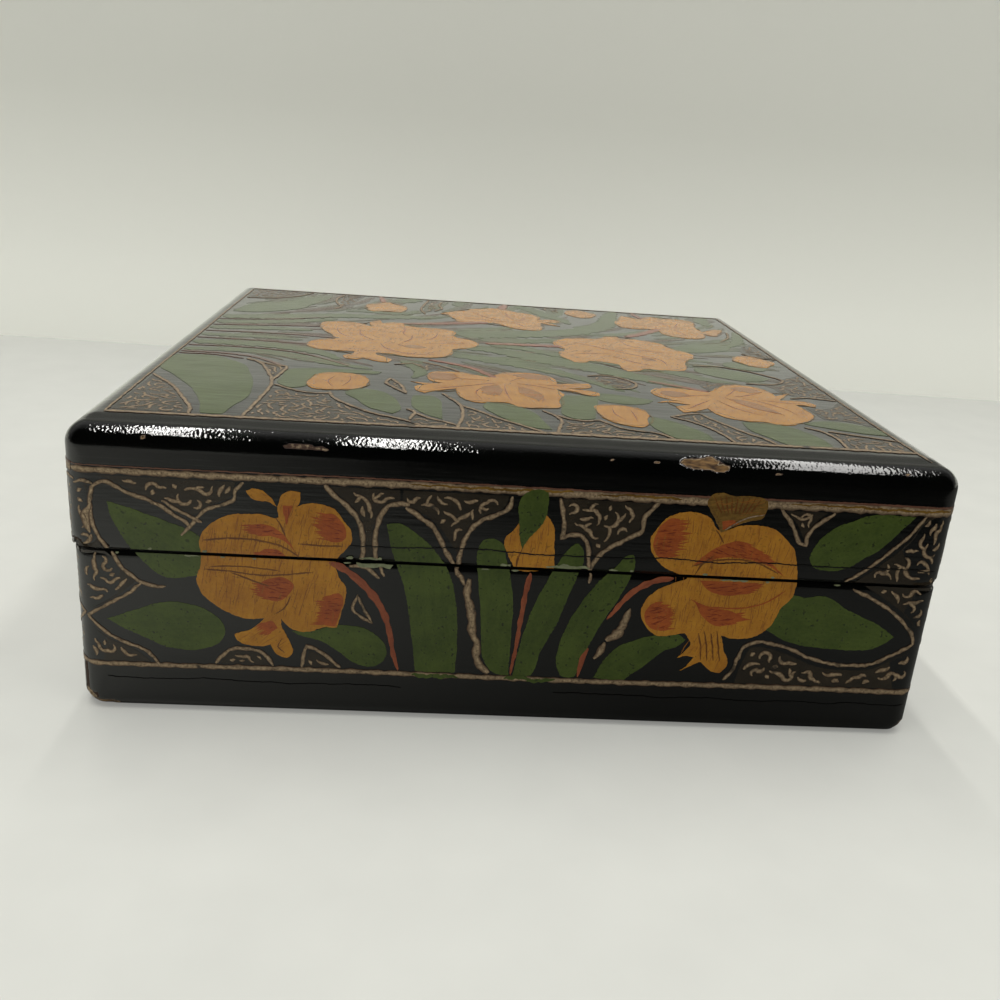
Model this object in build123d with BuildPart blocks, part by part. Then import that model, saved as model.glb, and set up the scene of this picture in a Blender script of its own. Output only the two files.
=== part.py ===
"""Kashmiri papier mache box: a flat, nearly square box whose lid swings on two small brass hinges.

Both halves are built up from pasted paper boards. Four outer walls stand on a bottom board, four
thin liners stand inside them, and the base's liners rise above its rim as a lip that the lid
drops over. The lid is made the same way, upside down.

Frame: millimetres, +Z up, origin in the middle of the base's underside. The hinges are on the
+X side, where the lid is flush with the base.
"""

from build123d import *
from math import radians, tan
from types import SimpleNamespace
import os

os.makedirs("parts", exist_ok=True)

# Overall sizes
base_width = 153.9  # along X
base_depth = 160.7  # along Y
base_height = 31.05  # underside to rim
lid_height = 21.45  # rim to top
left_overhang = 0.5  # the lid stands this far past the base at -X
front_overhang = 0.3  # and this far past it at -Y
rim_gap = 0.3  # between the two rims when the lid is down

# Boards
bottom_thickness = 6.6
top_thickness = 6.6
wall_thickness = 4.8
liner_thickness = 2.0

# The lip that the lid drops over
lip_height = 3.0  # above the base's rim
lip_clearance = 0.3  # to the lid's walls, at the least
lip_headroom = 0.3  # to the lid's liners

# Rounded edges
corner_radius = wall_thickness - 0.6  # the upright corners and the edges of the top
bottom_edge_radius = 2.8
rim_radius = 0.4

# Hinges
hinge_length = 24.0
hinge_inset = 35.0  # from each end of the base to the middle of its hinge
knuckle_count = 3  # the base's leaf has the outer two, and the lid's leaf the middle one
knuckle_radius = 1.5
knuckle_gap = 0.3  # between neighbouring knuckles
knuckle_clearance = 0.3  # to the walls
pin_radius = 0.75
pin_play = 0.05  # all round
pin_head_radius = 1.15
pin_head_thickness = 0.4
leaf_thickness = 0.6
leaf_setback = 0.5  # from the inner edge of the lid's rim
leaf_corner_radius = 0.6
mortise_play = 0.15  # along each edge of a leaf

# Hinge nails
nail_radius = 0.5
nail_length = 6.0
nail_tip_length = 1.2
nail_head_radius = 1.0
nail_head_angle = 100  # degrees, across the countersunk head
nail_play = 0.03  # all round
nail_end_distance = 5.0  # from each end of a leaf

# The lid's place
lid_width = base_width + left_overhang
lid_depth = base_depth + front_overhang
lid_rim = base_height + rim_gap
lid_top = lid_rim + lid_height
lid_ceiling = lid_top - top_thickness
lip_top = base_height + lip_height

# What the walls and liners of each half are made to
base = SimpleNamespace(
    name="base",
    x=0.0,
    y=0.0,
    width=base_width,
    depth=base_depth,
    wall=wall_thickness,
    low=bottom_thickness,
    high=base_height,
    rim=base_height,
    liner_low=bottom_thickness,
    liner_high=lip_top,
)
lid = SimpleNamespace(
    name="lid",
    x=-left_overhang / 2,
    y=-front_overhang / 2,
    width=lid_width,
    depth=lid_depth,
    wall=wall_thickness - lip_clearance,
    low=lid_rim,
    high=lid_ceiling,
    rim=lid_rim,
    liner_low=lip_top + lip_headroom,
    liner_high=lid_ceiling,
)

# The hinges' places. A leaf lies flush in the rim, and its knuckles stand behind the walls.
hinge_x = base_width / 2 + knuckle_clearance + knuckle_radius
hinge_z = base_height + rim_gap / 2
hinge_y = base_depth / 2 - hinge_inset
hinges = {"hinge_a": -hinge_y, "hinge_b": hinge_y}
leaf_x = base_width / 2 - lid.wall + leaf_setback
leaf_width = base_width / 2 - leaf_x
knuckle_length = (hinge_length - (knuckle_count - 1) * knuckle_gap) / knuckle_count
knuckle_pitch = knuckle_length + knuckle_gap
knuckle_arm = hinge_x - leaf_x - leaf_width / 2  # from the middle of a leaf to the barrel
nail_x = leaf_x + leaf_width / 2
nail_y = hinge_length / 2 - nail_end_distance
nail_head_thickness = (nail_head_radius - nail_radius) / tan(radians(nail_head_angle / 2))


def save(piece, name):
    """Label a finished piece and write it to its own file."""
    piece.part.label = name
    export_step(piece.part, f"parts/{name}.step")


def rim_plane(half, depth=0.0):
    """The plane of a half's rim, or one sunk that deep into it, facing the other half."""
    if half is base:
        return Plane((0, 0, half.rim - depth), x_dir=(1, 0, 0), z_dir=(0, 0, 1))
    return Plane((0, 0, half.rim + depth), x_dir=(1, 0, 0), z_dir=(0, 0, -1))


def rim_spots(half, x, ys):
    """Points (x, y) of the frame as they are counted on that half's rim plane."""
    return [(x, y if half is base else -y) for y in ys]


# The bottom board carries the base's walls and liners on its upper face.
with BuildPart() as bottom_board:
    with BuildSketch():
        Rectangle(base.width, base.depth)
    extrude(amount=bottom_thickness)
    fillet(bottom_board.edges().filter_by(Axis.Z), corner_radius)
    fillet(bottom_board.faces().sort_by(Axis.Z)[0].edges(), bottom_edge_radius)
save(bottom_board, "bottom_board")

# The top board closes the lid. It is rounded all round, as the upright corners are.
with BuildPart() as top_board:
    with BuildSketch(Plane.XY.offset(lid_ceiling)):
        with Locations((lid.x, lid.y)):
            Rectangle(lid.width, lid.depth)
    extrude(amount=top_thickness)
    fillet(top_board.edges().filter_by(Axis.Z), corner_radius)
    fillet(top_board.faces().sort_by(Axis.Z)[-1].edges(), corner_radius)
save(top_board, "top_board")

# The front and back walls run the full width, so they hold the upright corners.
for half in (base, lid):
    for side, side_name in ((-1, "front"), (1, "back")):
        with BuildPart() as end_wall:
            with BuildSketch(Plane.XY.offset(half.low)):
                with Locations((half.x, half.y + side * (half.depth - half.wall) / 2)):
                    Rectangle(half.width, half.wall)
            extrude(amount=half.high - half.low)
            outer_face = end_wall.faces().sort_by(Axis.Y, reverse=side > 0)[0]
            fillet(outer_face.edges().filter_by(Axis.Z), corner_radius)
            rim_face = end_wall.faces().sort_by(Axis.Z, reverse=half is base)[0]
            outer_edge = rim_face.edges().filter_by(Axis.X).sort_by(Axis.Y, reverse=side > 0)[0]
            fillet(outer_edge, rim_radius)
        save(end_wall, f"{half.name}_wall_{side_name}")

# The side walls stand between them. The right ones are mortised for the hinges.
for half in (base, lid):
    for side, side_name in ((-1, "left"), (1, "right")):
        with BuildPart() as side_wall:
            with BuildSketch(Plane.XY.offset(half.low)):
                with Locations((half.x + side * (half.width - half.wall) / 2, half.y)):
                    Rectangle(half.wall, half.depth - 2 * half.wall)
            extrude(amount=half.high - half.low)
            rim_face = side_wall.faces().sort_by(Axis.Z, reverse=half is base)[0]
            outer_edge = rim_face.edges().filter_by(Axis.Y).sort_by(Axis.X, reverse=side > 0)[0]
            fillet(outer_edge, rim_radius)
            if side_name == "right":
                with BuildSketch(rim_plane(half)):
                    with Locations(*rim_spots(half, leaf_x - mortise_play, hinges.values())):
                        Rectangle(
                            leaf_width + 2 * mortise_play,
                            hinge_length + 2 * mortise_play,
                            align=(Align.MIN, Align.CENTER),
                        )
                extrude(amount=-leaf_thickness, mode=Mode.SUBTRACT)
                pilot_holes = [y + end * nail_y for y in hinges.values() for end in (-1, 1)]
                with BuildSketch(rim_plane(half, leaf_thickness)):
                    with Locations(*rim_spots(half, nail_x, pilot_holes)):
                        Circle(nail_radius + nail_play)
                extrude(amount=leaf_thickness - nail_length - nail_play, mode=Mode.SUBTRACT)
        save(side_wall, f"{half.name}_wall_{side_name}")

# The liners line the walls. The base's stand proud of its rim, and the lid's stop above them.
for half in (base, lid):
    inner_width = half.width - 2 * half.wall
    inner_depth = half.depth - 2 * half.wall
    for side, side_name in ((-1, "front"), (1, "back")):
        with BuildPart() as end_liner:
            with BuildSketch(Plane.XY.offset(half.liner_low)):
                with Locations((half.x, half.y + side * (inner_depth - liner_thickness) / 2)):
                    Rectangle(inner_width, liner_thickness)
            extrude(amount=half.liner_high - half.liner_low)
        save(end_liner, f"{half.name}_liner_{side_name}")
    for side, side_name in ((-1, "left"), (1, "right")):
        with BuildPart() as side_liner:
            with BuildSketch(Plane.XY.offset(half.liner_low)):
                with Locations((half.x + side * (inner_width - liner_thickness) / 2, half.y)):
                    Rectangle(liner_thickness, inner_depth - 2 * liner_thickness)
            extrude(amount=half.liner_high - half.liner_low)
        save(side_liner, f"{half.name}_liner_{side_name}")

# Each hinge: a base leaf with two knuckles, a lid leaf with one between them, and the pin
for hinge_name, middle in hinges.items():
    for half, knuckles in ((base, (-1, 1)), (lid, (0,))):
        with BuildPart() as leaf:
            with BuildSketch(rim_plane(half)):
                with Locations(*rim_spots(half, leaf_x, (middle,))):
                    Rectangle(leaf_width, hinge_length, align=(Align.MIN, Align.CENTER))
            extrude(amount=-leaf_thickness)
            inner_corners = leaf.edges().filter_by(Axis.Z).group_by(Axis.X)[0]
            fillet(inner_corners, leaf_corner_radius)
            knuckle_ys = [middle + place * knuckle_pitch for place in knuckles]
            with BuildSketch(rim_plane(half)):
                with Locations(*rim_spots(half, leaf_x + leaf_width / 2, knuckle_ys)):
                    Rectangle(knuckle_arm, knuckle_length, align=(Align.MIN, Align.CENTER))
            extrude(amount=-leaf_thickness)
            for y in knuckle_ys:
                knuckle_start = Plane((hinge_x, y - knuckle_length / 2, hinge_z), z_dir=(0, 1, 0))
                with BuildSketch(knuckle_start):
                    Circle(knuckle_radius)
                extrude(amount=knuckle_length)
                with BuildSketch(knuckle_start):
                    Circle(pin_radius + pin_play)
                extrude(amount=knuckle_length, mode=Mode.SUBTRACT)
            nail_ys = [middle + end * nail_y for end in (-1, 1)]
            with Locations(rim_plane(half)):
                with Locations(*rim_spots(half, nail_x, nail_ys)):
                    CounterSinkHole(
                        nail_radius + nail_play,
                        nail_head_radius + nail_play,
                        counter_sink_angle=nail_head_angle,
                    )
        save(leaf, f"{hinge_name}_{half.name}_leaf")

    # The pin is peened over at both ends of the barrel.
    with BuildPart() as pin:
        barrel_start = Plane((hinge_x, middle - hinge_length / 2, hinge_z), z_dir=(0, 1, 0))
        with BuildSketch(barrel_start):
            Circle(pin_radius)
        extrude(amount=hinge_length)
        with BuildSketch(barrel_start):
            Circle(pin_head_radius)
        extrude(amount=-pin_head_thickness)
        with BuildSketch(barrel_start.offset(hinge_length)):
            Circle(pin_head_radius)
        extrude(amount=pin_head_thickness)
    save(pin, f"{hinge_name}_pin")

# The hinge nails, four in each half: a countersunk head, a shank and a point
shank_length = nail_length - nail_head_thickness - nail_tip_length
for half in (base, lid):
    with BuildPart() as nails:
        for middle in hinges.values():
            nail_ys = [middle + end * nail_y for end in (-1, 1)]
            with Locations(rim_plane(half)):
                with Locations(*rim_spots(half, nail_x, nail_ys)):
                    Cone(
                        nail_radius,
                        nail_head_radius,
                        nail_head_thickness,
                        align=(Align.CENTER, Align.CENTER, Align.MAX),
                    )
            with Locations(rim_plane(half, nail_head_thickness)):
                with Locations(*rim_spots(half, nail_x, nail_ys)):
                    Cylinder(
                        nail_radius, shank_length, align=(Align.CENTER, Align.CENTER, Align.MAX)
                    )
            with Locations(rim_plane(half, nail_head_thickness + shank_length)):
                with Locations(*rim_spots(half, nail_x, nail_ys)):
                    Cone(
                        0,
                        nail_radius,
                        nail_tip_length,
                        align=(Align.CENTER, Align.CENTER, Align.MAX),
                    )
    save(nails, f"{half.name}_hinge_nails")
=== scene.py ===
"""Kashmiri papier mache box: paper boards under black lacquer, hand painted with yellow irises and gold
scrolls, with a lid that swings on two small brass hinges. Sizes are in millimetres and are turned into metres
at the mesh."""

import math
import random

import bpy
import numpy as np
from mathutils import Matrix, Vector
from mathutils.geometry import delaunay_2d_cdt


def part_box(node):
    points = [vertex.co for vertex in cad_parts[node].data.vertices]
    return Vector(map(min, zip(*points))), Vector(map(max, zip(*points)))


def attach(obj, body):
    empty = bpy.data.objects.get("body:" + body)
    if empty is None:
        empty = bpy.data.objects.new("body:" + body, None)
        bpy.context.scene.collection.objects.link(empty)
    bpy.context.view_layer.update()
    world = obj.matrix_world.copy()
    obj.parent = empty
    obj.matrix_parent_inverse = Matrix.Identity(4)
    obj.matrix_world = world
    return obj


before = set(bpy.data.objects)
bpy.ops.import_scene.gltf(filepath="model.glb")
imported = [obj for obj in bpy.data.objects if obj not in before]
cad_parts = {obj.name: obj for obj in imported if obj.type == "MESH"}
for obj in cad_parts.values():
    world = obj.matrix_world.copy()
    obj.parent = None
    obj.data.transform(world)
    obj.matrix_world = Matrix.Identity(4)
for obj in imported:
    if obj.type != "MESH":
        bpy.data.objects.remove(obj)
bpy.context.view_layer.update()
mm = 0.001

# -----------------------------------------------------------------------------------------------------------
# The place: the closed box stands on a white table, 150 mm in front of a pale wall. The camera is held a
# little above it, close to its front. Soft ceiling lamps hang overhead, and the front of the room is dim.

camera_place = Vector((-17.54, -242.71, 101.54)) * mm
camera_yaw = 0.08033
camera_pitch = 0.34174
camera_roll = 0.07796
lens_length = 36.34
film_width = 36.0

ahead = Vector((math.sin(camera_yaw) * math.cos(camera_pitch),
                math.cos(camera_yaw) * math.cos(camera_pitch),
                -math.sin(camera_pitch)))
level_right = Vector((math.cos(camera_yaw), -math.sin(camera_yaw), 0.0))
level_up = level_right.cross(ahead)
frame_right = math.cos(camera_roll) * level_right + math.sin(camera_roll) * level_up
frame_up = math.cos(camera_roll) * level_up - math.sin(camera_roll) * level_right
camera_data = bpy.data.cameras.new("view")
camera_data.sensor_width = film_width
camera_data.lens = lens_length
camera_data.clip_start = 0.01
camera = bpy.data.objects.new("view", camera_data)
camera.matrix_world = Matrix((frame_right, frame_up, -ahead)).transposed().to_4x4()
camera.location = camera_place
bpy.context.scene.collection.objects.link(camera)
bpy.context.scene.camera = camera
bpy.context.scene.view_settings.view_transform = "Standard"


def new_material(name):
    """An empty node material and its tree."""
    material = bpy.data.materials.new(name)
    material.use_nodes = True
    material.node_tree.nodes.clear()
    return material, material.node_tree


def node(tree, kind, inputs=None, **settings):
    """Adds a node, sets its properties, and fills its inputs from values or from other nodes' outputs."""
    made = tree.nodes.new(kind)
    for key, value in settings.items():
        setattr(made, key, value)
    for key, value in (inputs or {}).items():
        if isinstance(value, bpy.types.NodeSocket):
            tree.links.new(value, made.inputs[key])
        else:
            made.inputs[key].default_value = value
    return made


def noise(tree, place, scale, detail, **more):
    """Soft random cloud at each place, from 0 to 1."""
    inputs = {"Vector": place, "Scale": scale, "Detail": detail, **more}
    return node(tree, "ShaderNodeTexNoise", inputs).outputs["Fac"]


def ramp(tree, value, low=0.0, high=1.0, least=0.0, most=1.0, way="LINEAR"):
    """Runs from least to most while the value runs from low to high, and stays level outside them."""
    inputs = dict(enumerate((value, low, high, least, most)))
    return node(tree, "ShaderNodeMapRange", inputs, interpolation_type=way).outputs["Result"]


def sums(tree, operation, *values, clamp=False):
    """One step of arithmetic."""
    inputs = dict(enumerate(values))
    return node(tree, "ShaderNodeMath", inputs, operation=operation, use_clamp=clamp).outputs[0]


def either(tree, share, first, second):
    """The first number where share is 0, the second where it is 1."""
    return node(tree, "ShaderNodeMix", {0: share, 2: first, 3: second}, data_type="FLOAT").outputs["Result"]


def paint_with_painted_glow(tree, colour, tone, lift):
    """Matt paint of a colour times a tone, with a painted glow of its own, though it is no lamp."""
    toned = node(tree, "ShaderNodeVectorMath", {0: colour, 1: tone}, operation="MULTIPLY")
    cover = node(tree, "ShaderNodeBsdfDiffuse", {"Color": toned.outputs["Vector"]})
    glow = node(tree, "ShaderNodeEmission", {"Color": (1.0, 1.0, 0.95, 1), "Strength": lift})
    both = node(tree, "ShaderNodeAddShader", {0: cover.outputs["BSDF"], 1: glow.outputs["Emission"]})
    return both.outputs["Shader"]


def add_mesh(name, points, faces, smooth=False):
    """A mesh object from points in millimetres."""
    mesh = bpy.data.meshes.new(name)
    mesh.from_pydata([(x * mm, y * mm, z * mm) for x, y, z in points], [], faces)
    if smooth:
        mesh.shade_smooth()
    made = bpy.data.objects.new(name, mesh)
    bpy.context.scene.collection.objects.link(made)
    return made


table_drop = 0.05
table_reach = 3000.0
table_white = (0.655, 0.665, 0.62)
table_front = -215.0
table_front_fade = 55.0

table_corners = [(x * table_reach, y * table_reach, -table_drop)
                 for x, y in ((-1, -1), (1, -1), (1, 1), (-1, 1))]
table = add_mesh("table", table_corners, [(0, 1, 2, 3)])
paint, tree = new_material("table_white")
place = node(tree, "ShaderNodeTexCoord").outputs["Object"]
axes = node(tree, "ShaderNodeSeparateXYZ", {"Vector": place}).outputs
path = node(tree, "ShaderNodeLightPath").outputs
mottle = ramp(tree, noise(tree, place, 60.0, 5.0), least=0.93, most=1.07)
# painted light: to the camera the table is a third darker and glows a little, which lightens the box's shadow
# on it
tone = sums(tree, "MULTIPLY", mottle, ramp(tree, path["Is Camera Ray"], least=1.0, most=0.67))
# painted shade seen only in the lacquer's reflections: there the table darkens to the right, and ends at its
# front edge, past which the room is painted dark too
table_shade_in_reflections = ramp(tree, axes["X"], -120 * mm, 40 * mm, 0.85, 0.20, "SMOOTHSTEP")
room_shade_in_reflections = ramp(tree, axes["X"], -130 * mm, -20 * mm, 0.55, 0.02)
on_table = ramp(tree, axes["Y"], table_front * mm, (table_front + table_front_fade) * mm, way="SMOOTHSTEP")
tone = either(tree, path["Is Glossy Ray"], tone, either(tree, on_table, room_shade_in_reflections, table_shade_in_reflections))
# the table's painted glow, for camera rays only
cover = paint_with_painted_glow(tree, table_white, tone, ramp(tree, path["Is Camera Ray"], most=0.21))
node(tree, "ShaderNodeOutputMaterial", {"Surface": cover})
table.data.materials.append(paint)

wall_distance = 228.5
wall_turn = -0.026
wall_height = 340.0
wall_white = (0.83, 0.835, 0.785)

wall_corners = [(side * table_reach, wall_distance + side * table_reach * wall_turn, height) for side, height
                in ((-1, -table_drop), (1, -table_drop), (1, wall_height), (-1, wall_height))]
wall = add_mesh("wall", wall_corners, [(0, 1, 2, 3)])
paint, tree = new_material("wall_white")
place = node(tree, "ShaderNodeTexCoord").outputs["Object"]
height = node(tree, "ShaderNodeSeparateXYZ", {"Vector": place}).outputs["Z"]
path = node(tree, "ShaderNodeLightPath").outputs
# painted reflection: to glossy rays only, the wall is a bright band low down and dimmer above it, for the
# lacquer to mirror
painted_wall_reflection = sums(tree, "MULTIPLY", ramp(tree, height, 0.070, 0.138, 1.55, 1.28),
                     ramp(tree, height, 0.138, 0.165, 1.0, 0.36))
# painted light for every ray: the wall is a little lighter near the table and darker higher up
tone = sums(tree, "MULTIPLY", either(tree, path["Is Glossy Ray"], 1.0, painted_wall_reflection),
            ramp(tree, height, 0.02, 0.12, 1.06, 0.93))
# a painted glow for the camera, strongest at the foot of the wall
painted_glow_near_wall_foot = ramp(tree, height, 0.03, 0.11, 0.12, 0.0)
cover = paint_with_painted_glow(tree, wall_white, tone, sums(tree, "MULTIPLY", painted_glow_near_wall_foot, path["Is Camera Ray"]))
unseen = node(tree, "ShaderNodeBsdfTransparent").outputs["BSDF"]
behind = node(tree, "ShaderNodeNewGeometry").outputs["Backfacing"]
turned = node(tree, "ShaderNodeMixShader", {0: behind, 1: cover, 2: unseen})
node(tree, "ShaderNodeOutputMaterial", {"Surface": turned.outputs["Shader"]})
wall.data.materials.append(paint)

room = bpy.data.worlds.new("room")
bpy.context.scene.world = room
room.use_nodes = True
tree = room.node_tree
tree.nodes.clear()
path = node(tree, "ShaderNodeLightPath").outputs
place = node(tree, "ShaderNodeTexCoord").outputs["Generated"]
depth = node(tree, "ShaderNodeSeparateXYZ", {"Vector": place}).outputs["Y"]
lit = either(tree, path["Is Glossy Ray"], 0.44, ramp(tree, depth, -0.15, 0.45, 0.006, 0.37))
strength = either(tree, path["Is Camera Ray"], lit, 0.62)
glow = node(tree, "ShaderNodeBackground", {"Color": (1.0, 1.0, 0.96, 1), "Strength": strength})
node(tree, "ShaderNodeOutputWorld", {"Surface": glow.outputs["Background"]})

lamp_height = 1500.0
lamp_length = 1750.0
lamp_middle = 200.0
# each lamp's name, its place across the room, its width and its watts
for lamp_name, across, width, watts in (("lamp_left", -440.0, 58.0, 8.9),
                                        ("lamp_middle", -72.0, 55.0, 8.9),
                                        ("lamp_right", 672.0, 190.0, 7.6)):
    lamp_data = bpy.data.lights.new(lamp_name, "AREA")
    lamp_data.shape = "RECTANGLE"
    lamp_data.size = width * mm
    lamp_data.size_y = lamp_length * mm
    lamp_data.energy = watts
    lamp_data.color = (1.0, 0.985, 0.95)
    lamp = bpy.data.objects.new(lamp_name, lamp_data)
    lamp.location = (across * mm, lamp_middle * mm, lamp_height * mm)
    bpy.context.scene.collection.objects.link(lamp)

# -----------------------------------------------------------------------------------------------------------
# The boards and liners: sheets of paper pulp pasted together and pressed, sized with dark glue inside, so
# that the fibres show only faintly. The liners stand inside the walls and make the lip that the lid drops
# over.


def new_group(name, **inputs_and_outputs):
    """A shader node group and its inputs. Names are written with underscores. An input has a default value,
    and an output has the type of its socket."""
    group = bpy.data.node_groups.new(name, "ShaderNodeTree")
    for key, value in inputs_and_outputs.items():
        key = key.replace("_", " ")
        if isinstance(value, str):
            group.interface.new_socket(key, in_out="OUTPUT", socket_type=value)
        else:
            kind = "NodeSocketColor" if isinstance(value, tuple) else "NodeSocketFloat"
            group.interface.new_socket(key, in_out="INPUT", socket_type=kind).default_value = value
    return group, node(group, "NodeGroupInput").outputs


def placed(tree, group, **inputs):
    """The outputs of a node group that is placed in a material. Input names are written with underscores."""
    inputs = {key.replace("_", " "): value for key, value in inputs.items()}
    return node(tree, "ShaderNodeGroup", inputs, node_tree=group).outputs


def blend(tree, amount, first, second):
    """The first colour where amount is 0, the second where it is 1."""
    return node(tree, "ShaderNodeMix", {0: amount, 6: first, 7: second}, data_type="RGBA").outputs[2]


def bump(tree, height, strength, depth, **under):
    """The surface's normal with a relief that deep in millimetres, over another normal if one is given."""
    inputs = {"Height": height, "Strength": strength, "Distance": depth * mm, **under}
    return node(tree, "ShaderNodeBump", inputs).outputs["Normal"]


def stretched(tree, place, scale, **more):
    """Places scaled along each axis, so that a texture on them is drawn out."""
    return node(tree, "ShaderNodeMapping", {"Vector": place, "Scale": scale, **more}).outputs["Vector"]


def skinned(tree, **inputs):
    """Ends a material with its surface. Input names are written with underscores."""
    inputs = {key.replace("_", " "): value for key, value in inputs.items()}
    skin = node(tree, "ShaderNodeBsdfPrincipled", inputs)
    node(tree, "ShaderNodeOutputMaterial", {"Surface": skin.outputs["BSDF"]})


paper_fibre, given = new_group("paper_fibre", Fibre_Size=500.0, Depth=0.5,
                               Fibre="NodeSocketFloat", Normal="NodeSocketVector")
place = node(paper_fibre, "ShaderNodeTexCoord").outputs["Object"]
drawn_out = stretched(paper_fibre, place, (1.0, 0.35, 1.0))
strands = noise(paper_fibre, drawn_out, given["Fibre Size"], 6.0, Distortion=1.2)
fibre = sums(paper_fibre, "ADD", sums(paper_fibre, "MULTIPLY", strands, 0.7),
             sums(paper_fibre, "MULTIPLY", noise(paper_fibre, place, 90.0, 3.0), 0.3))
relief = bump(paper_fibre, fibre, given["Depth"], 0.3)
node(paper_fibre, "NodeGroupOutput", {"Fibre": fibre, "Normal": relief})

sized_board, tree = new_material("sized_board")
fibres = placed(tree, paper_fibre, Fibre_Size=420.0, Depth=0.35)
shade = ramp(tree, fibres["Fibre"], 0.35, 0.65)
colour = blend(tree, shade, (0.010, 0.009, 0.008, 1), (0.026, 0.020, 0.016, 1))
skinned(tree, Base_Color=colour, Roughness=ramp(tree, fibres["Fibre"], least=0.40, most=0.62),
        Normal=fibres["Normal"])

liner_paint, tree = new_material("liner_paint")
fibres = placed(tree, paper_fibre, Fibre_Size=300.0, Depth=0.5)
shade = ramp(tree, fibres["Fibre"], 0.38, 0.62)
colour = blend(tree, shade, (0.013, 0.011, 0.010, 1), (0.040, 0.030, 0.023, 1))
skinned(tree, Base_Color=colour, Roughness=0.48, Normal=fibres["Normal"])

for node_name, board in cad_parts.items():
    if "hinge" not in node_name:
        board.data.materials.clear()
        board.data.materials.append(liner_paint if "liner" in node_name else sized_board)

# -----------------------------------------------------------------------------------------------------------
# The hinges: two small butt hinges of brass sheet let into the rims at the right, their knuckles rolled
# round a drawn pin, held by countersunk brass nails. Handling has left them dull brown, and bright only
# where rubbed.

tarnish, given = new_group("tarnish", Spread=0.5, Bright=(0.62, 0.43, 0.20, 1), Dull=(0.16, 0.10, 0.05, 1),
                           Colour="NodeSocketColor", Roughness="NodeSocketFloat", Normal="NodeSocketVector")
place = node(tarnish, "ShaderNodeTexCoord").outputs["Object"]
clouds = noise(tarnish, place, 320.0, 6.0, Roughness=0.65)
scratches = noise(tarnish, stretched(tarnish, place, (9.0, 0.8, 9.0)), 400.0, 4.0)
rubbed = ramp(tarnish, node(tarnish, "ShaderNodeNewGeometry").outputs["Pointiness"], 0.50, 0.60)
amount = sums(tarnish, "ADD", sums(tarnish, "MULTIPLY", clouds, 1.4),
              sums(tarnish, "SUBTRACT", given["Spread"], 1.0))
amount = sums(tarnish, "SUBTRACT", amount, rubbed, clamp=True)
relief = sums(tarnish, "ADD", sums(tarnish, "MULTIPLY", scratches, 0.5), clouds)
node(tarnish, "NodeGroupOutput", {"Colour": blend(tarnish, amount, given["Bright"], given["Dull"]),
                                  "Roughness": ramp(tarnish, amount, least=0.26, most=0.55),
                                  "Normal": bump(tarnish, relief, 0.25, 0.1)})

for metal_name, words, spread in (("hinge_brass", ("leaf", "pin"), 0.55), ("nail_brass", ("nails",), 0.42)):
    metal, tree = new_material(metal_name)
    aged = placed(tree, tarnish, Spread=spread)
    skinned(tree, Base_Color=aged["Colour"], Metallic=1.0, Roughness=aged["Roughness"], Normal=aged["Normal"])
    for node_name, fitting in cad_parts.items():
        if "hinge" in node_name and node_name.split("_")[-1] in words:
            fitting.data.materials.clear()
            fitting.data.materials.append(metal)

# -----------------------------------------------------------------------------------------------------------
# The lacquer coats: many brushed layers of black lacquer over the boards, one skin on the base and one on
# the lid, about 0.15 mm thick. They wrap the rims, bridge the boards' joints, and are chipped and worn at
# the edges.

coat_thickness = 0.15
rim_wrap = 2.0
rim_rounding = 0.25
rim_clearance = 0.03
foot_clearance = 0.02
corner_rounding = 4.1
lid_rounding = 3.9
foot_rounding = 2.8
contour_step = 0.6
fine_step = 0.22
buried = -0.35
cap_inset = 4.4
cap_lap = 0.6
contour_slack = 1.2
inner_gap = 0.5
corner_points = 15
wall_rings = 16
rounding_rings = 24
longest_ray = 14.0
halvings = 34


def node_corners(name):
    """A CAD node's lowest and highest corner in millimetres."""
    low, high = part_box(name)
    return np.array(low) / mm, np.array(high) / mm


lid_low, lid_high = node_corners("top_board")
lid_low[2] = node_corners("lid_wall_front")[0][2]
base_low, base_high = node_corners("bottom_board")
base_high[2] = node_corners("base_wall_front")[1][2]
skins = {"lid": (lid_low, lid_high), "base": (base_low, base_high)}


def rounded_edge(first, second, radius):
    """Distance to two faces that meet in a rounded edge, from the distances to each."""
    outside = np.hypot(np.maximum(first + radius, 0), np.maximum(second + radius, 0))
    return outside - radius + np.minimum(np.maximum(first, second) + radius, 0)


def skin_distance(body, points, grow):
    """Distance from the skin of the lid or the base, grown by that much."""
    low, high = skins[body]
    middle = (low + high) / 2
    half = (high - low) / 2 + grow
    walls = rounded_edge(np.abs(points[..., 0] - middle[0]) - half[0],
                         np.abs(points[..., 1] - middle[1]) - half[1], corner_rounding)
    if body == "lid":
        above = points[..., 2] - high[2] - grow
        below = low[2] - min(grow, rim_clearance) - points[..., 2]
        return rounded_edge(rounded_edge(walls, above, lid_rounding), below, rim_rounding)
    above = points[..., 2] - high[2] - min(grow, rim_clearance)
    below = low[2] - min(grow, foot_clearance) - points[..., 2]
    return rounded_edge(rounded_edge(walls, below, foot_rounding), above, rim_rounding)


def plan_way(degrees):
    """The cosine and sine of an angle: a direction in a plane."""
    return np.array((math.cos(math.radians(degrees)), math.sin(math.radians(degrees))))


def skin_ring(body, contour, inset, height, tilt, grow):
    """One ring of points on a skin, found along rays from a ring inside it. A tilt of 90 is straight up."""
    count = len(contour)
    start = np.column_stack([contour[:, :2] - contour[:, 2:] * inset, np.full(count, height)])
    flat, rise = plan_way(tilt)
    ray = np.column_stack([contour[:, 2:] * flat, np.full(count, rise)])
    near = np.zeros(count)
    far = np.full(count, longest_ray)
    for _ in range(halvings):
        half_way = (near + far) / 2
        outside = skin_distance(body, start + ray * half_way[:, None], grow) > 0
        far = np.where(outside, half_way, far)
        near = np.where(outside, near, half_way)
    return start + ray * near[:, None], ray


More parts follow.
